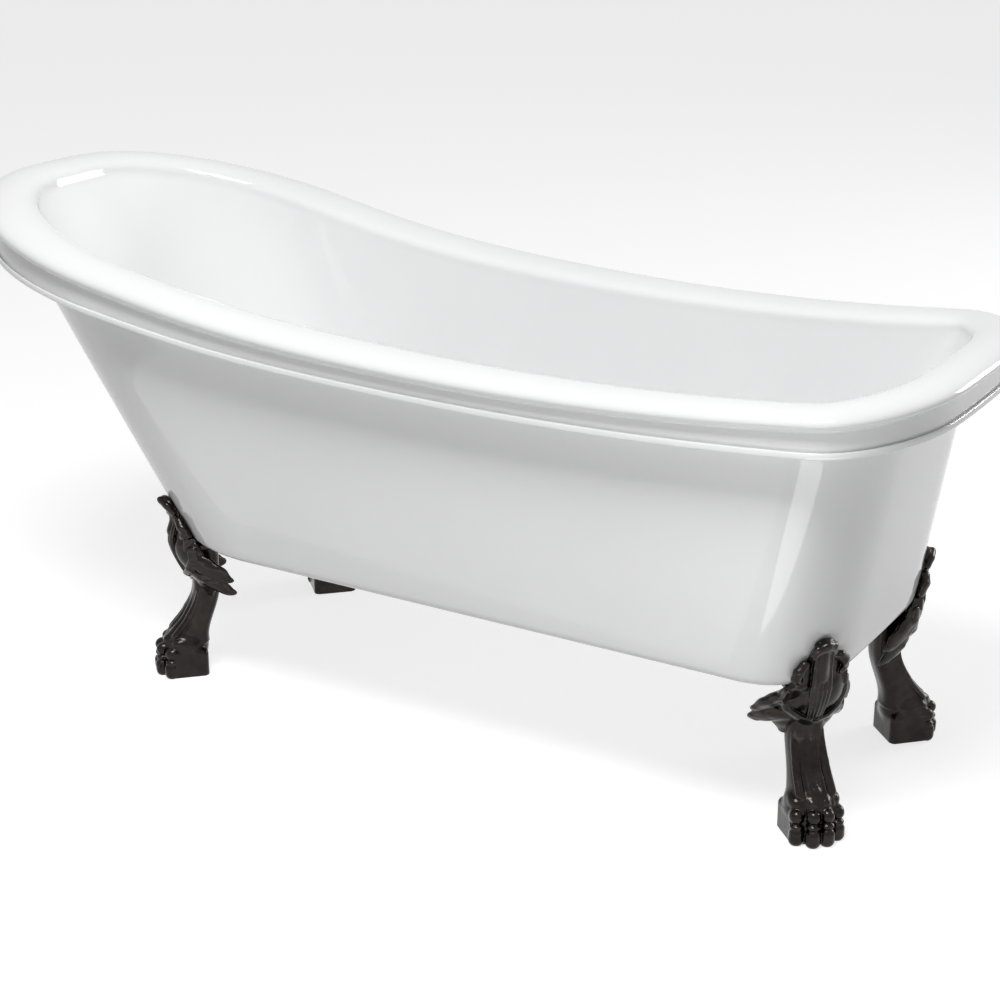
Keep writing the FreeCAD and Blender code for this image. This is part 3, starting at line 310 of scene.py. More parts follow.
# -------------------------------------------------------------------------------------------- mesh tools
def mesh_object(name, points, faces, sharp_degrees=35.0):
    """A smooth-shaded mesh object in metres from points in millimetres; its sharp edges stay sharp."""
    mesh = bpy.data.meshes.new(name)
    mesh.from_pydata((np.asarray(points) * MM).tolist(), [], [tuple(map(int, face)) for face in faces])
    mesh.validate()
    mesh.polygons.foreach_set("use_smooth", [True] * len(mesh.polygons))
    if sharp_degrees:
        mesh.set_sharp_from_angle(angle=math.radians(sharp_degrees))
    piece = bpy.data.objects.new(name, mesh)
    bpy.context.scene.collection.objects.link(piece)
    return piece


def grid_faces(rows, columns, close_rows):
    """Quads of a grid that closes round its columns, and round its rows where asked."""
    last = rows if close_rows else rows - 1
    row, column = np.meshgrid(np.arange(last), np.arange(columns), indexing="ij")
    after_row, after = (row + 1) % rows, (column + 1) % columns
    corners = (row * columns + column, row * columns + after, after_row * columns + after,
               after_row * columns + column)
    return np.stack(corners, axis=-1).reshape(-1, 4)


# ------------------------------------------------------------------------------------------ the two shells
def overflow_frame():
    """The overflow's point on the wall, and its directions up the wall, across it and into the bath."""
    wall = np.array([ring[0] for ring in well_rings(0)[5:-1]])
    index = np.searchsorted(wall[:, 2], OVERFLOW_HEIGHT) - 1
    low, high = wall[index], wall[index + 1]
    up = (high - low) / np.linalg.norm(high - low)
    point = low + (high - low) * ((OVERFLOW_HEIGHT - low[2]) / (high[2] - low[2]))
    into = np.array((-up[2], 0, up[0]))
    return point, up, np.cross(into, up), into


OVERFLOW_POINT, OVERFLOW_UP, OVERFLOW_ACROSS, OVERFLOW_INTO = overflow_frame()


def dish_rings(outside, thickness):
    """Rings from the waste hole's edge over its dished seat and the flat floor to a floor ring."""
    middle = np.array((WASTE_ALONG, 0.0))
    height = outside[0, 2]
    seat = height - WASTE_DISH_DEPTH
    rings = [circle_ring(outside, middle, radius, seat)
             for radius in (WASTE_HOLE_RADIUS, 30, WASTE_DISH_FLAT - 3)]
    for share in np.linspace(0, 1, 9):
        radius = WASTE_DISH_FLAT + (WASTE_DISH_RADIUS - WASTE_DISH_FLAT) * share + thickness * 0.3
        rise = WASTE_DISH_DEPTH * share ** 2 * (3 - 2 * share)
        rings.append(circle_ring(outside, middle, radius, seat + rise))
    edge = rings[-1]
    return rings + [edge + (outside - edge) * share for share in (0.08, 0.2, 0.4, 0.65, 0.85)]


def drill_overflow(points, faces):
    """Open the overflow hole in both sheets of the well; the cover and gasket hide its edges."""
    local = points - OVERFLOW_POINT
    across = np.hypot(local @ OVERFLOW_UP, local @ OVERFLOW_ACROSS)
    near = np.abs(local @ OVERFLOW_INTO) < 25
    inside = (across < OVERFLOW_HOLE_RADIUS + 2) & near
    gone = inside[faces].all(axis=1)
    edges = {(int(a), int(b)) for face in faces[gone] for a, b in zip(face, np.roll(face, -1))}
    moved = sorted({a for a, b in edges if (b, a) not in edges})
    flat = sum(np.outer(local[moved] @ way, way) for way in (OVERFLOW_UP, OVERFLOW_ACROSS))
    points[moved] += unit(flat) * OVERFLOW_HOLE_RADIUS - flat
    return points, faces[~gone]


def make_inner_shell():
    """The well, its rolled rim and the apron, as one closed sheet with waste and overflow holes."""
    face = skin(well_rings(0) + roll_rings(0) + [rim_ring(
        WIDE - APRON_INSET, -HIGH * np.sqrt(1 - ((WIDE - APRON_INSET) / WIDE) ** 2))])
    back_out = WIDE - APRON_INSET - WELL_THICKNESS
    back = skin(well_rings(WELL_THICKNESS) + roll_rings(WELL_THICKNESS)
                + [rim_ring(back_out, -(HIGH - WELL_THICKNESS) * 0.8)])
    seat = FLANGE_THICKNESS + 0.4 - DROP
    foot = dense_ring(rim_ring(WIDE - APRON_INSET, seat))
    back_foot = dense_ring(rim_ring(back_out, seat))
    apron = [face[-1] + (foot - face[-1]) * share for share in (0.03, 0.3, 0.6, 0.9)]
    apron += corner_arc(foot, face[-1], back_foot, 1.2) + corner_arc(back_foot, foot, back[-1], 1.2)
    rings = dish_rings(face[0], 0) + list(face) + apron + list(back[::-1])
    rings += dish_rings(back[0], WELL_THICKNESS)[::-1]
    points = np.concatenate(rings)
    faces = grid_faces(len(rings), ROUND_COUNT, True)
    points, faces = drill_overflow(points, faces)
    return mesh_object("bath_inner_shell", points, faces[:, ::-1])


def opening_reach(away):
    """How far the service opening's edge stands from its middle in each direction."""
    across, side = np.abs(away[:, 0]), np.abs(away[:, 1])
    flat = OPENING_RADIUS / np.maximum(side, 1e-9)
    inner = np.sqrt(np.maximum(OPENING_RADIUS ** 2 - (OPENING_STRAIGHT * side) ** 2, 0))
    return np.where(flat * across <= OPENING_STRAIGHT, flat, OPENING_STRAIGHT * across + inner)


def make_outer_shell():
    """The outside skin with its flat underside, service opening, flange and the bead round its rim."""
    face_rows, face_top = outer_rings(0)
    back_rows, back_top = outer_rings(SKIN_THICKNESS)
    sideways = np.concatenate([RIM_NORMALS * 5, np.zeros((STATIONS, 1))], axis=1)
    face_rows.append(face_top + sideways)
    back_rows.append(back_top + sideways + (0, 0, FLANGE_THICKNESS))
    for reach, rise in ((-14, 0), (-6, 0), (-1, -1), (1, 0), (1, BEAD_HEIGHT), (-1, BEAD_HEIGHT + 1),
                        (-3.4, BEAD_HEIGHT - 0.4)):
        face_rows.append(rim_ring(WIDE - BEAD_INSET + reach, rise - DROP))
    for reach in (-14, -4):
        back_rows.append(rim_ring(WIDE - BEAD_INSET + reach, FLANGE_THICKNESS - DROP))
    face, back = skin(face_rows), skin(back_rows, 4)
    middle = np.array((OPENING_MIDDLE, 0.0))
    rings = []
    for ring in (face[0], back[0]):
        edge = circle_ring(ring, middle, opening_reach, ring[0, 2])
        rings.append([edge] + [edge + (ring - edge) * share for share in (0.03, 0.2, 0.5, 0.8)])
    rings = rings[0] + list(face) + list(back[::-1]) + rings[1][::-1]
    return mesh_object("bath_outer_shell", np.concatenate(rings), grid_faces(len(rings), ROUND_COUNT, True))


# --------------------------------------------------------------------------------------------- paw feet
FOOT_PLACES = {"foot_near": (661, -179), "foot_far": (661, 179), "head_near": (-392, -203),
               "head_far": (-392, 203)}
FOOT_STEP = 1.6            # spacing of the grid that a foot's surface is found on
FOOT_LOW = (-112.0, -84.0, -3.0)
FOOT_HIGH = (52.0, 84.0, 298.0)
LEG_POWER = 2.8                    # how square the leg's section is
LEG_HEIGHTS = (50, 70, 90, 110, 130, 150, 170, 190, 210)
LEG_MIDDLE = (-14, -19, -30, -39, -45, -46, -45, -43, -41)
LEG_DEEP = (33, 29, 24, 22, 21, 21, 22, 24, 25)
LEG_WIDE = (29, 27.5, 25.5, 25, 25, 25, 25, 25, 25)
LEAF_HEIGHTS = (130, 150, 170, 190, 210, 230, 250, 270, 290)
LEAF_FRONT = (-28, -21, -11, -3, 2, 2, -3, -5, -2)
LEAF_CURL = 0.0115
GLIDE_BACK = 6
GLIDE_HOLES = ((14.5, 9.0), (5.3, 43.0))   # the pad's recess and the stud's hole: radius, depth
BOLT_BACK = 66
BOLT_SIDE = 30
BOLT_POCKET = 10.5
LEDGE_UNDER = 212


def join(one, other, blend):
    """The union of two distance fields, with a fillet."""
    share = np.clip(0.5 + 0.5 * (other - one) / blend, 0, 1)
    return other + (one - other) * share - blend * share * (1 - share)


def ball(x, y, z, centre, radii):
    """Distance to an ellipsoid, nearly true close to it."""
    px, py, pz = (x - centre[0]), (y - centre[1]), (z - centre[2])
    scaled = np.sqrt((px / radii[0]) ** 2 + (py / radii[1]) ** 2 + (pz / radii[2]) ** 2) + 1e-9
    slope = np.sqrt((px / radii[0] ** 2) ** 2 + (py / radii[1] ** 2) ** 2
                    + (pz / radii[2] ** 2) ** 2) + 1e-9
    return scaled * (scaled - 1) / slope


def bar(x, y, z, start, end, start_radius, end_radius):
    """Distance to a round bar that tapers from one end to the other."""
    along = np.array(end, float) - np.array(start, float)
    px, py, pz = x - start[0], y - start[1], z - start[2]
    share = np.clip((px * along[0] + py * along[1] + pz * along[2]) / (along @ along), 0, 1)
    gap = np.sqrt((px - along[0] * share) ** 2 + (py - along[1] * share) ** 2
                  + (pz - along[2] * share) ** 2)
    return gap - (start_radius + (end_radius - start_radius) * share)


def chain(x, y, z, points, radii, blend=1.5):
    """Distance to tapered bars joined end to end."""
    field = None
    for index in range(len(points) - 1):
        one = bar(x, y, z, points[index], points[index + 1], radii[index], radii[index + 1])
        field = one if field is None else join(field, one, blend)
    return field


def block(x, y, z, low, high, rounding):
    """Distance to a box with rounded edges."""
    parts = []
    for value, a, b in zip((x, y, z), low, high):
        parts.append(np.abs(value - (a + b) / 2) - ((b - a) / 2 - rounding))
    outside = np.sqrt(sum(np.maximum(part, 0) ** 2 for part in parts))
    inside = np.minimum(np.maximum(np.maximum(parts[0], parts[1]), parts[2]), 0)
    return outside + inside - rounding


def paw_field(x, y, z):
    """The paw: a blocky body with a hunched back and four bent toes, each with knuckles over a claw."""
    field = block(x, y, z, (-42, -35.5, -14), (30, 35.5, 44), 9)
    field = np.maximum(field, x + 0.0125 * y ** 2 - 25)
    field = join(field, ball(x, y, z, (-10, 0, 46), (36, 36, 31)), 6)
    for across, back, lift in ((9.8, 0, 0), (28.4, 12, -3)):
        toe = bar(x, y, z, (27.5 - back, across, 8), (28.5 - back, across, 16), 10.9, 10.3)
        toe = join(toe, ball(x, y, z, (27 - back, across, 29 + lift), (9.8, 9.4, 5)), 2)
        toe = join(toe, ball(x, y, z, (24.5 - back, across, 42 + lift), (12, 9.9, 10.5)), 1.6)
        toe = join(toe, ball(x, y, z, (11 - back, across * 0.95, 57 + lift), (14, 8.6, 9)), 4)
        field = join(field, toe, 2.4)
    between = bar(x, y, z, (40, 0, 4), (24, 0, 66), 1.3, 1.5)
    beside = bar(x, y, z, (35, 19.3, 4), (16, 19, 62), 1.3, 1.5)
    return np.maximum(np.maximum(field, -between), -beside)


def leg_field(x, y, z):
    """The leg: a rounded oblong that leans back from ankle to knee, with tendons down its front."""
    middle, deep, wide = (smooth_line(LEG_HEIGHTS, table, z)
                          for table in (LEG_MIDDLE, LEG_DEEP, LEG_WIDE))
    round_share = ((np.abs(x - middle) / deep) ** LEG_POWER
                   + (np.abs(y) / wide) ** LEG_POWER) ** (1 / LEG_POWER)
    field = np.maximum((round_share - 1) * np.minimum(deep, wide),
                       np.maximum(LEG_HEIGHTS[0] - z, z - LEDGE_UNDER))
    front = middle + deep
    q = x - front
    inner = chain(q, y, z, ((-2, 8.5, 70), (-3, 8.2, 100), (-4, 7.8, 138)), (5.5, 5.2, 3.5))
    outer = chain(q, y, z, ((-6, 22, 68), (-6, 20, 100), (-8, 19, 138)), (6.5, 6, 4))
    field = join(join(field, inner, 1.0), outer, 1.0)
    groove = bar(q, y, z, (1.5, 0, 78), (0.5, 0, 146), 2.6, 1.4)
    return np.maximum(field, -groove)


def leaf_field(x, y, z, surface):
    """The leaf over the knee: flutes, round cheeks, curled sides, a rolled tip and two-lobed wings."""
    q = x - surface
    web = np.maximum(np.abs(q + 10) - 8, np.sqrt((y / 40) ** 2 + ((z - 208) / 56) ** 2) * 40 - 40)
    cheek = ball(q, y, z, (-9, 29, 203), (12.5, 23, 31))
    field = join(web, cheek, 2)
    rolled = chain(q, y, z, ((-1, 47, 216), (1, 47, 198), (1, 36, 180), (0, 20, 168), (-1, 6, 163)),
                   (4.5, 5, 5, 4.5, 4), 2)
    field = join(field, rolled, 1.2)
    for foot, top, radius in ((0, 0, 3.6), (4.6, 6.6, 3.4), (9, 13, 3.4)):
        flute = chain(q, y, z, ((-1, foot, 170), (2.2, (foot + top) * 0.55, 215), (1.4, top, 250),
                                (0.5, top * 0.95, 274)), (radius * 0.8, radius, radius, radius), 1)
        field = join(field, flute, 0.5)
    neck = bar(q, y, z, (-7, 0, 235), (-7, 0, 274), 15, 13)
    neck = np.maximum(neck, np.abs(y) - 21)
    field = join(field, join(neck, ball(q, y, z, (-6, 0, 262), (8, 21, 20)), 2), 1.0)
    curl = chain(q, y, z, ((-6, 20, 258), (0, 29, 257), (3, 37, 248), (1, 39, 238), (-1, 33, 233)),
                 (6, 7, 7.5, 6.5, 5), 1.5)
    field = join(field, curl, 0.8)
    lip = chain(q, y, z, ((1, -16, 268), (3, -12, 277), (4, 0, 281), (3, 12, 277), (1, 16, 268)),
                (6, 7, 7.5, 7, 6), 2)
    lip = join(lip, ball(q, y, z, (-3, 0, 280), (9, 16, 10)), 2)
    field = join(field, lip, 1.0)
    upper = chain(q, y, z, ((-14, 36, 200), (-10, 48, 194), (-8, 59, 184), (-7, 67, 172)),
                  (12, 12, 11, 7), 3)
    lower = chain(q, y, z, ((-14, 30, 168), (-11, 44, 165), (-8, 54, 158), (-8, 61, 150)),
                  (13, 13, 11, 8), 3)
    root = chain(q, y, z, ((-16, 24, 168), (-15, 32, 152), (-16, 27, 136)), (12, 11, 6), 3)
    ridge = chain(q, y, z, ((0, 42, 191), (1, 54, 182), (-2, 65, 172)), (4, 4, 3.4), 2)
    fold = chain(q, y, z, ((-3, 42, 168), (1, 51, 162), (-2, 60, 152)), (4, 4, 3.6), 2)
    wing = join(join(join(upper, lower, 5), root, 4), join(ridge, fold, 1), 1.5)
    return join(field, wing, 1.2)


def skin_outline(height):
    """The outside skin's plan at a level above its bottom, at every station."""
    corner, top = outer_wall(0)
    ring = []
    for low, high in zip(corner, top):
        share = max(0.0, (height - low[2]) / (high[2] - low[2]))
        ring.append(between(low[None], high[None], share, WALL_BOW)[0])
    return np.array(ring)


def wall_table(place, sides, heights):
    """How far out the skin stands along a foot's diagonal, over a table of offsets and heights."""
    px, py = FOOT_PLACES[place]
    diagonal = np.array((math.copysign(1, px), math.copysign(1, py))) / math.sqrt(2)
    left = np.array((-diagonal[1], diagonal[0]))
    table = []
    for height in heights:
        local = skin_outline(height)[:, :2] - (px, py)
        out, side = local @ diagonal, local @ left
        order = np.argsort(side)
        order = order[out[order] > -230]
        table.append(np.interp(sides, side[order], out[order]))
    return np.array(table)


def foot_field(place):
    """The whole foot's distance field in its own frame: X out along the diagonal, Y to the left, Z up."""
    sides = np.linspace(-90, 90, 37)
    heights = np.linspace(BASE_HEIGHT, BASE_HEIGHT + 80, 20)
    walls = wall_table(place, sides, heights)

    def wall_at(y, z):
        column = np.clip((y - sides[0]) / (sides[1] - sides[0]), 0, len(sides) - 1.001)
        row = np.clip((z - heights[0]) / (heights[1] - heights[0]), 0, len(heights) - 1.001)
        c, r = column.astype(int), row.astype(int)
        u, v = column - c, row - r
        return ((walls[r, c] * (1 - u) + walls[r, c + 1] * u) * (1 - v)
                + (walls[r + 1, c] * (1 - u) + walls[r + 1, c + 1] * u) * v)

    def field(x, y, z):
        side = np.abs(y)
        wall = wall_at(y, z)
        surface = smooth_line(LEAF_HEIGHTS, LEAF_FRONT, z) - LEAF_CURL * side ** 2
        near_wall = wall + 9 - 45 * np.clip((BASE_HEIGHT - z) / 45, 0, 2)
        surface = -join(-surface, -near_wall, 4)
        total = join(paw_field(x, side, z), leg_field(x, side, z), 3)
        total = join(total, leaf_field(x, side, z, surface), 1.5)
        total = np.minimum(total, block(x, side, z, (-80, -43, LEDGE_UNDER), (-12, 43, 232), 1.5))
        bath = np.minimum(wall + 0.8 - x, z - BASE_HEIGHT)
        total = np.maximum(np.maximum(total, bath), -z)
        glide = np.hypot(x + GLIDE_BACK, y)
        for radius, depth in GLIDE_HOLES:
            total = np.maximum(total, -np.maximum(glide - radius, z - depth))
        pocket = np.hypot(x + BOLT_BACK, side - BOLT_SIDE)
        return np.maximum(total, -np.maximum(pocket - BOLT_POCKET, z - LEDGE_UNDER))

    return field


def found_surface(field, low, high, step):
    """Points and quads of a field's zero surface, by one point to each crossed cell of a grid."""
    axes = [np.arange(a, b + step, step) for a, b in zip(low, high)]
    coarse_axes = [axis[::3] for axis in axes]
    coarse = field(*np.meshgrid(*coarse_axes, indexing="ij"))
    values = coarse
    for number, (axis, coarse_axis) in enumerate(zip(axes, coarse_axes)):
        place = np.clip((axis - coarse_axis[0]) / (3 * step), 0, len(coarse_axis) - 1.001)
        index = place.astype(int)
        part = (place - index).reshape([-1 if n == number else 1 for n in range(3)])
        values = np.take(values, index, number) * (1 - part) + np.take(values, index + 1, number) * part
    band = np.abs(values) < 4.2 * step
    grids = np.meshgrid(*axes, indexing="ij")
    values[band] = field(*(grid[band] for grid in grids))
    inside = values < 0
    shape = np.array(values.shape)
    corner_places = [np.array(((n >> 2) & 1, (n >> 1) & 1, n & 1)) for n in range(8)]

    def corner(array, offset):
        return array[tuple(slice(o, s - 1 + o) for o, s in zip(offset, shape))]

    signs = sum(corner(inside, place).astype(np.int8) for place in corner_places)
    crossed = (signs > 0) & (signs < 8)
    cells = np.argwhere(crossed)
    sums = np.zeros((len(cells), 3))
    counts = np.zeros(len(cells))
    for a in corner_places:
        for axis in range(3):
            if a[axis]:
                continue
            b = a.copy()
            b[axis] = 1
            va, vb = (values[tuple((cells + offset).T)] for offset in (a, b))
            hit = (va < 0) != (vb < 0)
            share = np.where(hit, va / np.where(hit, va - vb, 1), 0)
            sums[hit] += (a + (b - a) * share[:, None])[hit]
            counts += hit
    points = np.array(low) + (cells + sums / counts[:, None]) * step
    number = np.full(tuple(shape - 1), -1)
    number[crossed] = np.arange(len(cells))
    quads = []
    for axis in range(3):
        first = tuple(slice(0, -1) if n == axis else slice(1, -1) for n in range(3))
        second = tuple(slice(1, None) if n == axis else slice(1, -1) for n in range(3))
        here, there = inside[first], inside[second]
        places = np.argwhere(here != there) + [0 if n == axis else 1 for n in range(3)]
        one, two = [n for n in range(3) if n != axis]
        steps = np.zeros((4, 3), int)
        steps[1, one] = steps[2, one] = steps[2, two] = steps[3, two] = -1
        ring = np.stack([number[tuple((places + move).T)] for move in steps], axis=1)
        flip = inside[tuple(places.T)] != (axis == 1)
        quads.append(np.where(flip[:, None], ring, ring[:, ::-1]))
    quads = np.concatenate(quads)
    tiny = 0.05
    for _ in range(2):
        at_point = field(*points.T)
        slope = np.stack([(field(*(points + tiny * np.eye(3)[axis]).T) - at_point) / tiny
                          for axis in range(3)], axis=1)
        move = at_point[:, None] * slope / np.maximum((slope ** 2).sum(axis=1, keepdims=True), 0.2)
        reach = np.linalg.norm(move, axis=1, keepdims=True)
        points -= move * np.minimum(1, 0.4 * step / np.maximum(reach, 1e-9))
    return points, quads


def make_feet():
    """Four feet: each end's near foot is found once, and the far one is its mirror image."""
    pieces = {}
    for end in ("foot", "head"):
        place = end + "_near"
        points, quads = found_surface(foot_field(place), FOOT_LOW, FOOT_HIGH, FOOT_STEP)
        px, py = FOOT_PLACES[place]
        turn = math.atan2(math.copysign(1, py), math.copysign(1, px))
        c, s = math.cos(turn), math.sin(turn)
        world = points @ np.array(((c, s, 0), (-s, c, 0), (0, 0, 1))) + (px, py, 0)
        pieces[place] = mesh_object("paw_" + place, world, quads, 0)
        pieces[end + "_far"] = mesh_object("paw_" + end + "_far", world * (1, -1, 1), quads[:, ::-1], 0)
    return pieces


# -------------------------------------------------------------------------------------------- materials
class Nodes:
    """A material's node tree with short calls for the few kinds of node used here."""

    def __init__(self, name):
        self.material = bpy.data.materials.new(name)
        self.material.use_nodes = True
        self.tree = self.material.node_tree
        self.shader = self.tree.nodes["Principled BSDF"]
        self.place = self.add("ShaderNodeTexCoord").outputs["Object"]

    def add(self, kind, **settings):
        node = self.tree.nodes.new(kind)
        for key, value in settings.items():
            setattr(node, key, value)
        return node

    def link(self, source, target):
        self.tree.links.new(source, target)

    def noise(self, scale, detail=2.0, roughness=0.5):
        node = self.add("ShaderNodeTexNoise")
        node.inputs["Scale"].default_value = scale
        node.inputs["Detail"].default_value = detail
        node.inputs["Roughness"].default_value = roughness
        self.link(self.place, node.inputs["Vector"])
        return node.outputs["Fac"]

    def spread(self, source, low, high, to_low, to_high):
        node = self.add("ShaderNodeMapRange")
        for name, value in (("From Min", low), ("From Max", high), ("To Min", to_low), ("To Max", to_high)):
            node.inputs[name].default_value = value
        self.link(source, node.inputs["Value"])
        return node.outputs["Result"]

    def ramp(self, source, stops):
        node = self.add("ShaderNodeValToRGB")
        for index, (position, colour) in enumerate(stops):
            while len(node.color_ramp.elements) <= index:
                node.color_ramp.elements.new(position)
            node.color_ramp.elements[index].position = position
            node.color_ramp.elements[index].color = (*colour, 1)
        self.link(source, node.inputs["Fac"])
        return node.outputs["Color"]

    def mix(self, share, one, other):
        node = self.add("ShaderNodeMix", data_type="RGBA")
        for value, socket in ((share, node.inputs[0]), (one, node.inputs[6]), (other, node.inputs[7])):
            if isinstance(value, bpy.types.NodeSocket):
                self.link(value, socket)
            elif isinstance(value, tuple):
                socket.default_value = (*value, 1)
            else:
                socket.default_value = value
        return node.outputs[2]

    def math(self, operation, one, other):
        node = self.add("ShaderNodeMath", operation=operation)
        for value, socket in ((one, node.inputs[0]), (other, node.inputs[1])):
            if isinstance(value, bpy.types.NodeSocket):
                self.link(value, socket)
            else:
                socket.default_value = value
        return node.outputs[0]

    def bump(self, height, distance, strength=1.0):
        node = self.add("ShaderNodeBump")
        node.inputs["Distance"].default_value = distance
        node.inputs["Strength"].default_value = strength
        self.link(height, node.inputs["Height"])
        self.link(node.outputs["Normal"], self.shader.inputs["Normal"])

    def set(self, **values):
        for key, value in values.items():
            socket = self.shader.inputs[key.replace("_", " ")]
            if isinstance(value, bpy.types.NodeSocket):
                self.link(value, socket)
            elif isinstance(value, tuple):
                socket.default_value = (*value, 1)
            else:
                socket.default_value = value


def acrylic_material():
    """White cast acrylic: high gloss, with the faint long waves of a vacuum-formed sheet."""
    nodes = Nodes("white_acrylic")
    tone = nodes.ramp(nodes.noise(3.0, 3.0), ((0.3, (0.80, 0.803, 0.807)), (0.7, (0.83, 0.832, 0.835))))
    haze = nodes.spread(nodes.noise(38.0, 6.0, 0.7), 0.35, 0.75, 0.035, 0.075)
    nodes.set(Base_Color=tone, Roughness=haze, IOR=1.49)
    waves = nodes.math("ADD", nodes.noise(5.5, 1.0), nodes.math("MULTIPLY", nodes.noise(420.0, 2.0), 0.012))
    nodes.bump(waves, 0.00035)
    return nodes.material


def casting_material():
    """Black-nickel finish over a sand casting: dark, glossy, worn a little brighter on proud edges, with
    painted shade darkening its hollows.
    """
    nodes = Nodes("black_casting")
    pointy = nodes.add("ShaderNodeNewGeometry").outputs["Pointiness"]
    proud = nodes.spread(pointy, 0.52, 0.62, 0.0, 1.0)
    patch = nodes.noise(55.0, 5.0, 0.6)
    base = nodes.ramp(patch, ((0.3, (0.020, 0.0175, 0.0165)), (0.7, (0.036, 0.031, 0.029))))
    worn = nodes.math("MULTIPLY", proud, nodes.spread(patch, 0.35, 0.65, 0.15, 0.6))
    colour = nodes.mix(worn, base, (0.11, 0.098, 0.09))
    # painted shade: hollow places (low pointiness) are taken nearly to black, standing in for the shade in
    # the crevices
    painted_crevice_shade = nodes.spread(pointy, 0.40, 0.48, 0.65, 0.0)
    colour = nodes.mix(painted_crevice_shade, colour, (0.003, 0.0026, 0.0024))
    nodes.set(Base_Color=colour, Metallic=1.0, IOR=1.5)
    rough = nodes.spread(nodes.noise(160.0, 4.0, 0.65), 0.3, 0.7, 0.13, 0.26)
    nodes.set(Roughness=rough, Coat_Weight=0.06, Coat_Roughness=0.08)
    grain = nodes.math("ADD", nodes.noise(900.0, 3.0), nodes.math("MULTIPLY", nodes.noise(90.0, 3.0), 2.2))
    nodes.bump(grain, 0.00022, 0.6)
    return nodes.material


def plated_material(name, colour, rough, grain_scale):
    """Bright plated or turned metal with fine marks."""
    nodes = Nodes(name)
    tone = nodes.ramp(nodes.noise(60.0, 4.0), ((0.3, tuple(c * 0.93 for c in colour)), (0.7, colour)))
    nodes.set(Base_Color=tone, Metallic=1.0)
    nodes.set(Roughness=nodes.spread(nodes.noise(240.0, 5.0, 0.7), 0.3, 0.7, rough * 0.6, rough * 1.5))
    nodes.bump(nodes.noise(grain_scale, 3.0), 0.00006)
    return nodes.material


def moulded_material(name, colour, rough, grain_scale, grain):
    """Moulded plastic, rubber or adhesive with its fine surface texture."""
    nodes = Nodes(name)
    dark = tuple(c * 0.88 for c in colour)
    nodes.set(Base_Color=nodes.ramp(nodes.noise(35.0, 4.0), ((0.3, dark), (0.7, colour))))
    nodes.set(Roughness=nodes.spread(nodes.noise(180.0, 4.0), 0.3, 0.7, rough * 0.8, min(1.0, rough * 1.2)))
    nodes.bump(nodes.noise(grain_scale, 4.0), grain)
    return nodes.material


def board_material():
    """Resin-coated chipboard: flakes of several browns under a thin uneven coat."""
    nodes = Nodes("board")
    flakes = nodes.add("ShaderNodeTexVoronoi")
    flakes.inputs["Scale"].default_value = 210.0
    stretched = nodes.add("ShaderNodeMapping")
    stretched.inputs["Scale"].default_value = (1.0, 1.6, 1.0)
    nodes.link(nodes.place, stretched.inputs["Vector"])
    nodes.link(stretched.outputs["Vector"], flakes.inputs["Vector"])
    shade = nodes.add("ShaderNodeSeparateColor")
    nodes.link(flakes.outputs["Color"], shade.inputs["Color"])
    colour = nodes.ramp(shade.outputs["Red"], ((0.0, (0.30, 0.20, 0.11)), (0.5, (0.46, 0.34, 0.2)),
                                               (1.0, (0.60, 0.47, 0.31))))
    nodes.set(Base_Color=colour)
    nodes.set(Roughness=nodes.spread(nodes.noise(120.0, 4.0), 0.3, 0.7, 0.45, 0.8))
    nodes.bump(flakes.outputs["Distance"], 0.0006, 0.5)
    return nodes.material


MATERIALS = {
    "white_acrylic": acrylic_material(),
    "black_casting": casting_material(),
    "adhesive": moulded_material("adhesive", (0.72, 0.71, 0.67), 0.6, 140.0, 0.0006),
    "board": board_material(),
    "zinc_steel": plated_material("zinc_steel", (0.62, 0.63, 0.65), 0.28, 500.0),
    "insert_brass": plated_material("insert_brass", (0.72, 0.56, 0.29), 0.3, 600.0),
    "rubber_seal": moulded_material("rubber_seal", (0.035, 0.035, 0.036), 0.6, 700.0, 0.0002),
    "polished_chrome": plated_material("polished_chrome", (0.80, 0.81, 0.83), 0.06, 60.0),
    "pipe_plastic": moulded_material("pipe_plastic", (0.74, 0.74, 0.72), 0.42, 450.0, 0.00015),
    "hose_plastic": moulded_material("hose_plastic", (0.42, 0.43, 0.44), 0.5, 400.0, 0.0002),
}


def dress(piece, slot):
    """Give a piece the material of the named slot."""
    piece.data.materials.clear()
    piece.data.materials.append(MATERIALS[slot])


# ------------------------------------------------------------------------------------------ put together
slots = {entry["node"]: entry["material_slot"] for entry in frame["record"]["subparts"]}
for node_name, cad_node in frame["nodes"].items():
    cad_node.data.materials.clear()
    cad_node.data.materials.append(MATERIALS[slots[node_name]])

for piece, node_name in ((make_inner_shell(), "inner_shell"), (make_outer_shell(), "outer_shell")):
    dress(piece, "white_acrylic")
    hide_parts(node_name)
    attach(piece, "bath")

for place, piece in make_feet().items():
    dress(piece, "black_casting")
    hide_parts("claw_foot_" + place)
    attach(piece, "bath")

# --------------------------------------------------------------------------- floor, background and lamps
CAMERA_PLACE = (1.5476, -2.4496, 1.3585)
CAMERA_AZIMUTH = 31.1
CAMERA_ELEVATION = 20.2
CAMERA_LENS = 73.8
FLOOR_TONE = 0.42
FLOOR_LIFT = 0.74                  # white added to the floor where it is seen
WORLD_LIGHT = 0.2                  # the surround's strength as light on the bath
# place, target, width, height and power of each lamp; the last two lie on the floor and face up
LAMPS = {
    "top": ((0.4, -1.5, 3.3), (0.05, 0, 0.5), 1.4, 1.2, 98),
    "end": ((2.6, 3.6, 1.4), (0.3, 0, 0.4), 1.6, 1.4, 66),
    "corner": ((1.12, -1.12, 0.02), (1.12, -1.12, 1), 1.1, 0.8, 8),
    "near": ((-0.4, -0.98, 0.02), (-0.4, -0.98, 1), 1.5, 0.75, 2.4),
}


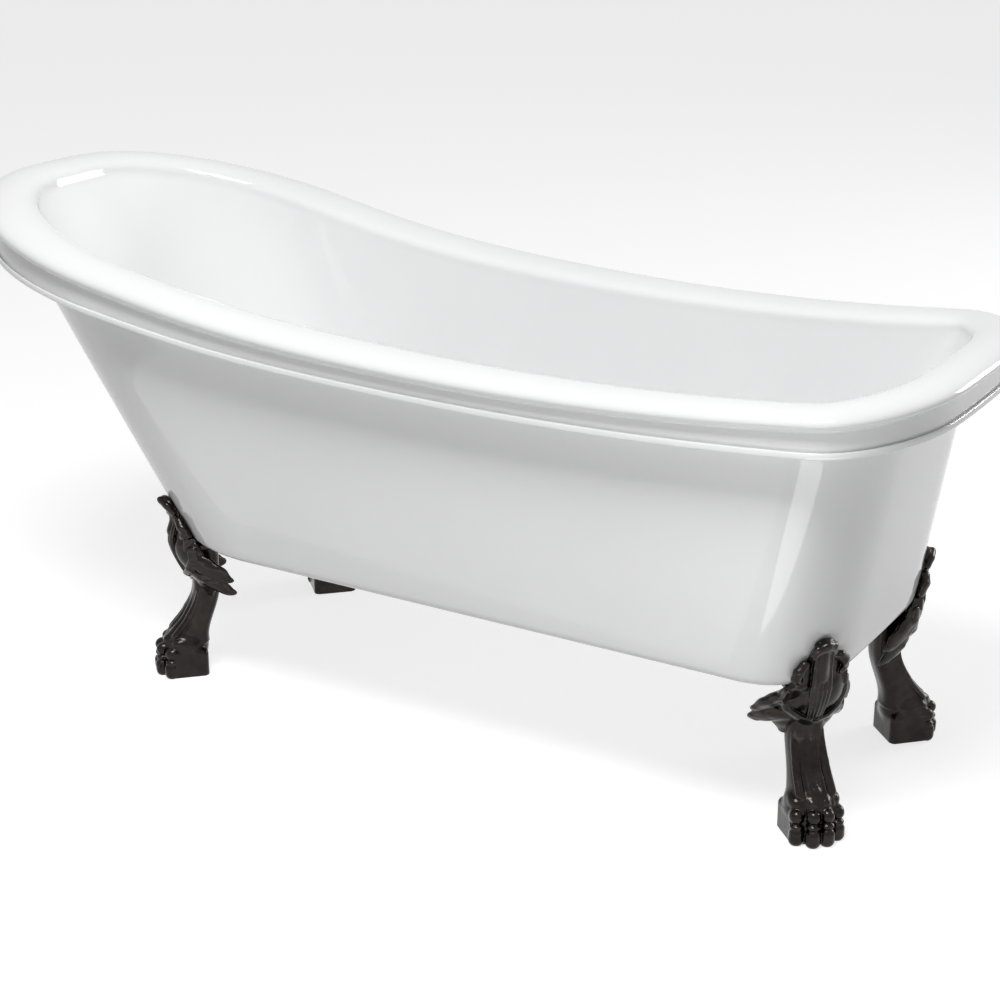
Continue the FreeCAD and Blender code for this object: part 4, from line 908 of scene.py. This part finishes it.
def seen_white(tree, lit, white):
    """Mixes in the white that camera, glossy and transmission rays see."""
    path = tree.nodes.new("ShaderNodeLightPath")
    seen = None
    for name in ("Is Camera Ray", "Is Glossy Ray", "Is Transmission Ray"):
        if seen is None:
            seen = path.outputs[name]
            continue
        either = tree.nodes.new("ShaderNodeMath")
        either.operation = "MAXIMUM"
        tree.links.new(seen, either.inputs[0])
        tree.links.new(path.outputs[name], either.inputs[1])
        seen = either.outputs[0]
    mixed = tree.nodes.new("ShaderNodeMixShader")
    tree.links.new(seen, mixed.inputs["Fac"])
    tree.links.new(lit, mixed.inputs[1])
    tree.links.new(white, mixed.inputs[2])
    return mixed.outputs["Shader"]


def make_floor():
    """A pale floor disc that keeps the bath's shadow and is otherwise lifted to the white around it."""
    steps = 96
    ring = [(12 * math.cos(2 * math.pi * n / steps), 12 * math.sin(2 * math.pi * n / steps), 0.0)
            for n in range(steps)]
    mesh = bpy.data.meshes.new("floor")
    mesh.from_pydata(ring, [], [tuple(range(steps))])
    floor = bpy.data.objects.new("floor", mesh)
    bpy.context.scene.collection.objects.link(floor)
    material = bpy.data.materials.new("floor_white")
    material.use_nodes = True
    tree = material.node_tree
    lit = tree.nodes["Principled BSDF"]
    lit.inputs["Base Color"].default_value = (FLOOR_TONE, FLOOR_TONE, FLOOR_TONE, 1)
    lit.inputs["Roughness"].default_value = 0.9
    lit.inputs["Specular IOR Level"].default_value = 0.0
    white = tree.nodes.new("ShaderNodeEmission")
    white.inputs["Strength"].default_value = FLOOR_LIFT
    added = tree.nodes.new("ShaderNodeAddShader")
    tree.links.new(lit.outputs["BSDF"], added.inputs[0])
    tree.links.new(white.outputs["Emission"], added.inputs[1])
    tree.links.new(seen_white(tree, lit.outputs["BSDF"], added.outputs[0]),
                   tree.nodes["Material Output"].inputs["Surface"])
    mesh.materials.append(material)


def make_world():
    """A plain soft surround: white where it is seen, greyer as light on the object."""
    world = bpy.data.worlds.new("surround")
    bpy.context.scene.world = world
    world.use_nodes = True
    tree = world.node_tree
    soft = tree.nodes["Background"]
    soft.inputs["Color"].default_value = (1, 1, 1, 1)
    soft.inputs["Strength"].default_value = WORLD_LIGHT
    white = tree.nodes.new("ShaderNodeBackground")
    white.inputs["Strength"].default_value = 1.0
    tree.links.new(seen_white(tree, soft.outputs["Background"], white.outputs["Background"]),
                   tree.nodes["World Output"].inputs["Surface"])


def make_lamp(name, place, target, wide, high, power):
    """A soft rectangular lamp that faces a point and isn't itself in the picture."""
    light = bpy.data.lights.new(name, "AREA")
    light.shape = "RECTANGLE"
    light.size = wide
    light.size_y = high
    light.energy = power
    lamp = bpy.data.objects.new(name, light)
    lamp.location = place
    lamp.rotation_euler = (Vector(target) - Vector(place)).to_track_quat("-Z", "Y").to_euler()
    lamp.visible_camera = False
    bpy.context.scene.collection.objects.link(lamp)


def make_camera():
    """The camera at the photograph's place, angle and lens."""
    data = bpy.data.cameras.new("camera")
    data.lens = CAMERA_LENS
    data.sensor_width = 36.0
    data.sensor_fit = "HORIZONTAL"
    camera = bpy.data.objects.new("camera", data)
    azimuth, elevation = math.radians(CAMERA_AZIMUTH), math.radians(CAMERA_ELEVATION)
    camera.location = CAMERA_PLACE
    camera.rotation_euler = (math.pi / 2 - elevation, 0, azimuth)
    bpy.context.scene.collection.objects.link(camera)
    bpy.context.scene.camera = camera


make_floor()
make_world()
for lamp_name, lamp_values in LAMPS.items():
    make_lamp(lamp_name, *lamp_values)
make_camera()
bpy.context.scene.view_settings.view_transform = "Standard"
